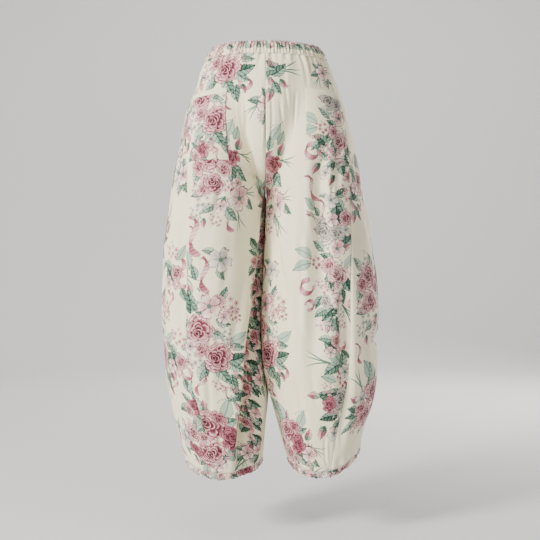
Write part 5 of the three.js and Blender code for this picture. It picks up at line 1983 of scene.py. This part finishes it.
@dataclass(frozen=True)
class Studio:
    """The camera, the lights and a pale floor that runs up into a backdrop. Its sizes are in metres."""

    distance: float = 2.0
    eye_drop: float = 0.4835
    aside: float = -0.009
    lens: float = 58.7  # in millimetres
    floor_drop: float = 1.075
    floor_radius: float = 5.5
    wall_height: float = 7.0
    bend: float = 2.2  # where the floor curves up into the wall
    paper: str = "#D6D7D9"
    sky: str = "#F4F1EA"
    sky_strength: float = 0.13
    light_colour: tuple[float, float, float] = (1.0, 0.968, 0.91)

    def camera(self) -> None:
        """Sets the camera behind the trousers, level with their middle."""
        data = bpy.data.cameras.new("camera")
        data.lens = self.lens
        camera = bpy.data.objects.new("camera", data)
        camera.location = (self.aside, self.distance, -self.eye_drop)
        camera.rotation_euler = (math.radians(90), 0, math.radians(180))
        bpy.context.scene.collection.objects.link(camera)
        bpy.context.scene.camera = camera

    def light(self, name: str, place: tuple, aim: tuple, size: float, power: float) -> None:
        """Adds a soft square light.

        Args:
            name: its name.
            place: where it stands.
            aim: what it looks at.
            size: its side, in metres.
            power: watts.
        """
        data = bpy.data.lights.new(name, "AREA")
        data.size = size
        data.energy = power
        data.color = self.light_colour
        lamp = bpy.data.objects.new(name, data)
        lamp.location = place
        way = np.subtract(aim, place)
        flat = math.hypot(way[0], way[1])
        lamp.rotation_euler = (math.atan2(flat, -way[2]), 0, math.atan2(way[1], way[0]) - math.pi / 2)
        bpy.context.scene.collection.objects.link(lamp)

    def backdrop(self) -> None:
        """Makes a pale round floor that curves up into a wall on all sides, open to the sky."""
        bpy.ops.object.select_all(action="DESELECT")
        bpy.ops.mesh.primitive_circle_add(vertices=128, radius=self.floor_radius, fill_type="NGON")
        bowl = bpy.context.object
        bowl.name = "backdrop"
        bpy.ops.object.mode_set(mode="EDIT")
        bpy.ops.mesh.select_mode(type="EDGE")
        bpy.ops.mesh.select_all(action="SELECT")
        bpy.ops.mesh.region_to_loop()
        bpy.ops.mesh.extrude_region_move(TRANSFORM_OT_translate={"value": (0, 0, self.wall_height)})
        bpy.ops.mesh.select_all(action="SELECT")
        bpy.ops.transform.translate(value=(0, 0, -self.floor_drop))
        bpy.ops.mesh.normals_make_consistent(inside=True)
        bpy.ops.object.mode_set(mode="OBJECT")
        curve = bowl.modifiers.new("curve", "BEVEL")
        curve.width = self.bend
        curve.segments = 20
        curve.limit_method = "ANGLE"
        curve.angle_limit = math.radians(60)
        bpy.ops.object.modifier_apply(modifier=curve.name)
        bpy.ops.object.shade_smooth()
        material = bpy.data.materials.new("matt_backdrop_paper")
        material.use_nodes = True
        shader = material.node_tree.nodes["Principled BSDF"]
        shader.inputs["Base Color"].default_value = linear(self.paper)
        shader.inputs["Roughness"].default_value = 0.95
        bowl.data.materials.append(material)

    def build(self) -> None:
        """Sets up the studio."""
        self.camera()
        self.backdrop()
        middle = (0.0, 0.0, -0.45)
        self.light("key", (2.3, 1.9, 0.8), middle, 0.7, 178)
        self.light("fill", (0.9, 3.0, 0.5), middle, 1.4, 10)
        self.light("front_key", (-2.0, -2.2, 0.8), middle, 0.9, 92)
        self.light("top", (0.4, 0.6, 2.2), middle, 1.0, 14)
        washes = (("back", 0, -1, 100), ("left", 1, 0, 36), ("front", 0, 1, 36), ("right", -1, 0, 36))
        for name, x, y, power in washes:
            self.light(f"wall_{name}", (2.2 * x, 2.2 * y, 2.0), (5.4 * x, 5.4 * y, -0.1), 2.0, power)
        world = bpy.data.worlds.new("room")
        world.use_nodes = True
        sky = world.node_tree.nodes["Background"].inputs
        sky[0].default_value = linear(self.sky)
        sky[1].default_value = self.sky_strength
        bpy.context.scene.world = world


def main() -> None:
    """Builds the trousers and their surroundings."""
    logging.basicConfig(level=logging.INFO, format="%(message)s")
    Studio().build()
    drawn = (TrailScreen(), LeafScreen(), FloretScreen(), BloomScreen())
    screens = {screen.name: screen.group() for screen in drawn}
    cottons = Cottons(
        FloralCotton("floral_cotton_right_side").make(screens),
        FloralCotton("floral_cotton_reverse", reverse=True).make(screens),
        SpunThread("ivory_sewing_thread").make(),
    )
    for leg in (LEFT_LEG, RIGHT_LEG):
        LegPanel(leg, True, PLACES[f"{leg.name}_back"]).build(cottons)
        LegPanel(leg, False, PLACES[f"{leg.name}_front"], width=470.0, columns=156).build(cottons)
        HemBand(leg, PLACES[f"{leg.name}_hem"]).build(cottons)
        PatchPocket(leg, PLACES[f"{leg.name}_pocket"]).build(cottons)
    Waistband(PLACES["waistband"]).build(cottons)


if __name__ == "__main__":
    main()
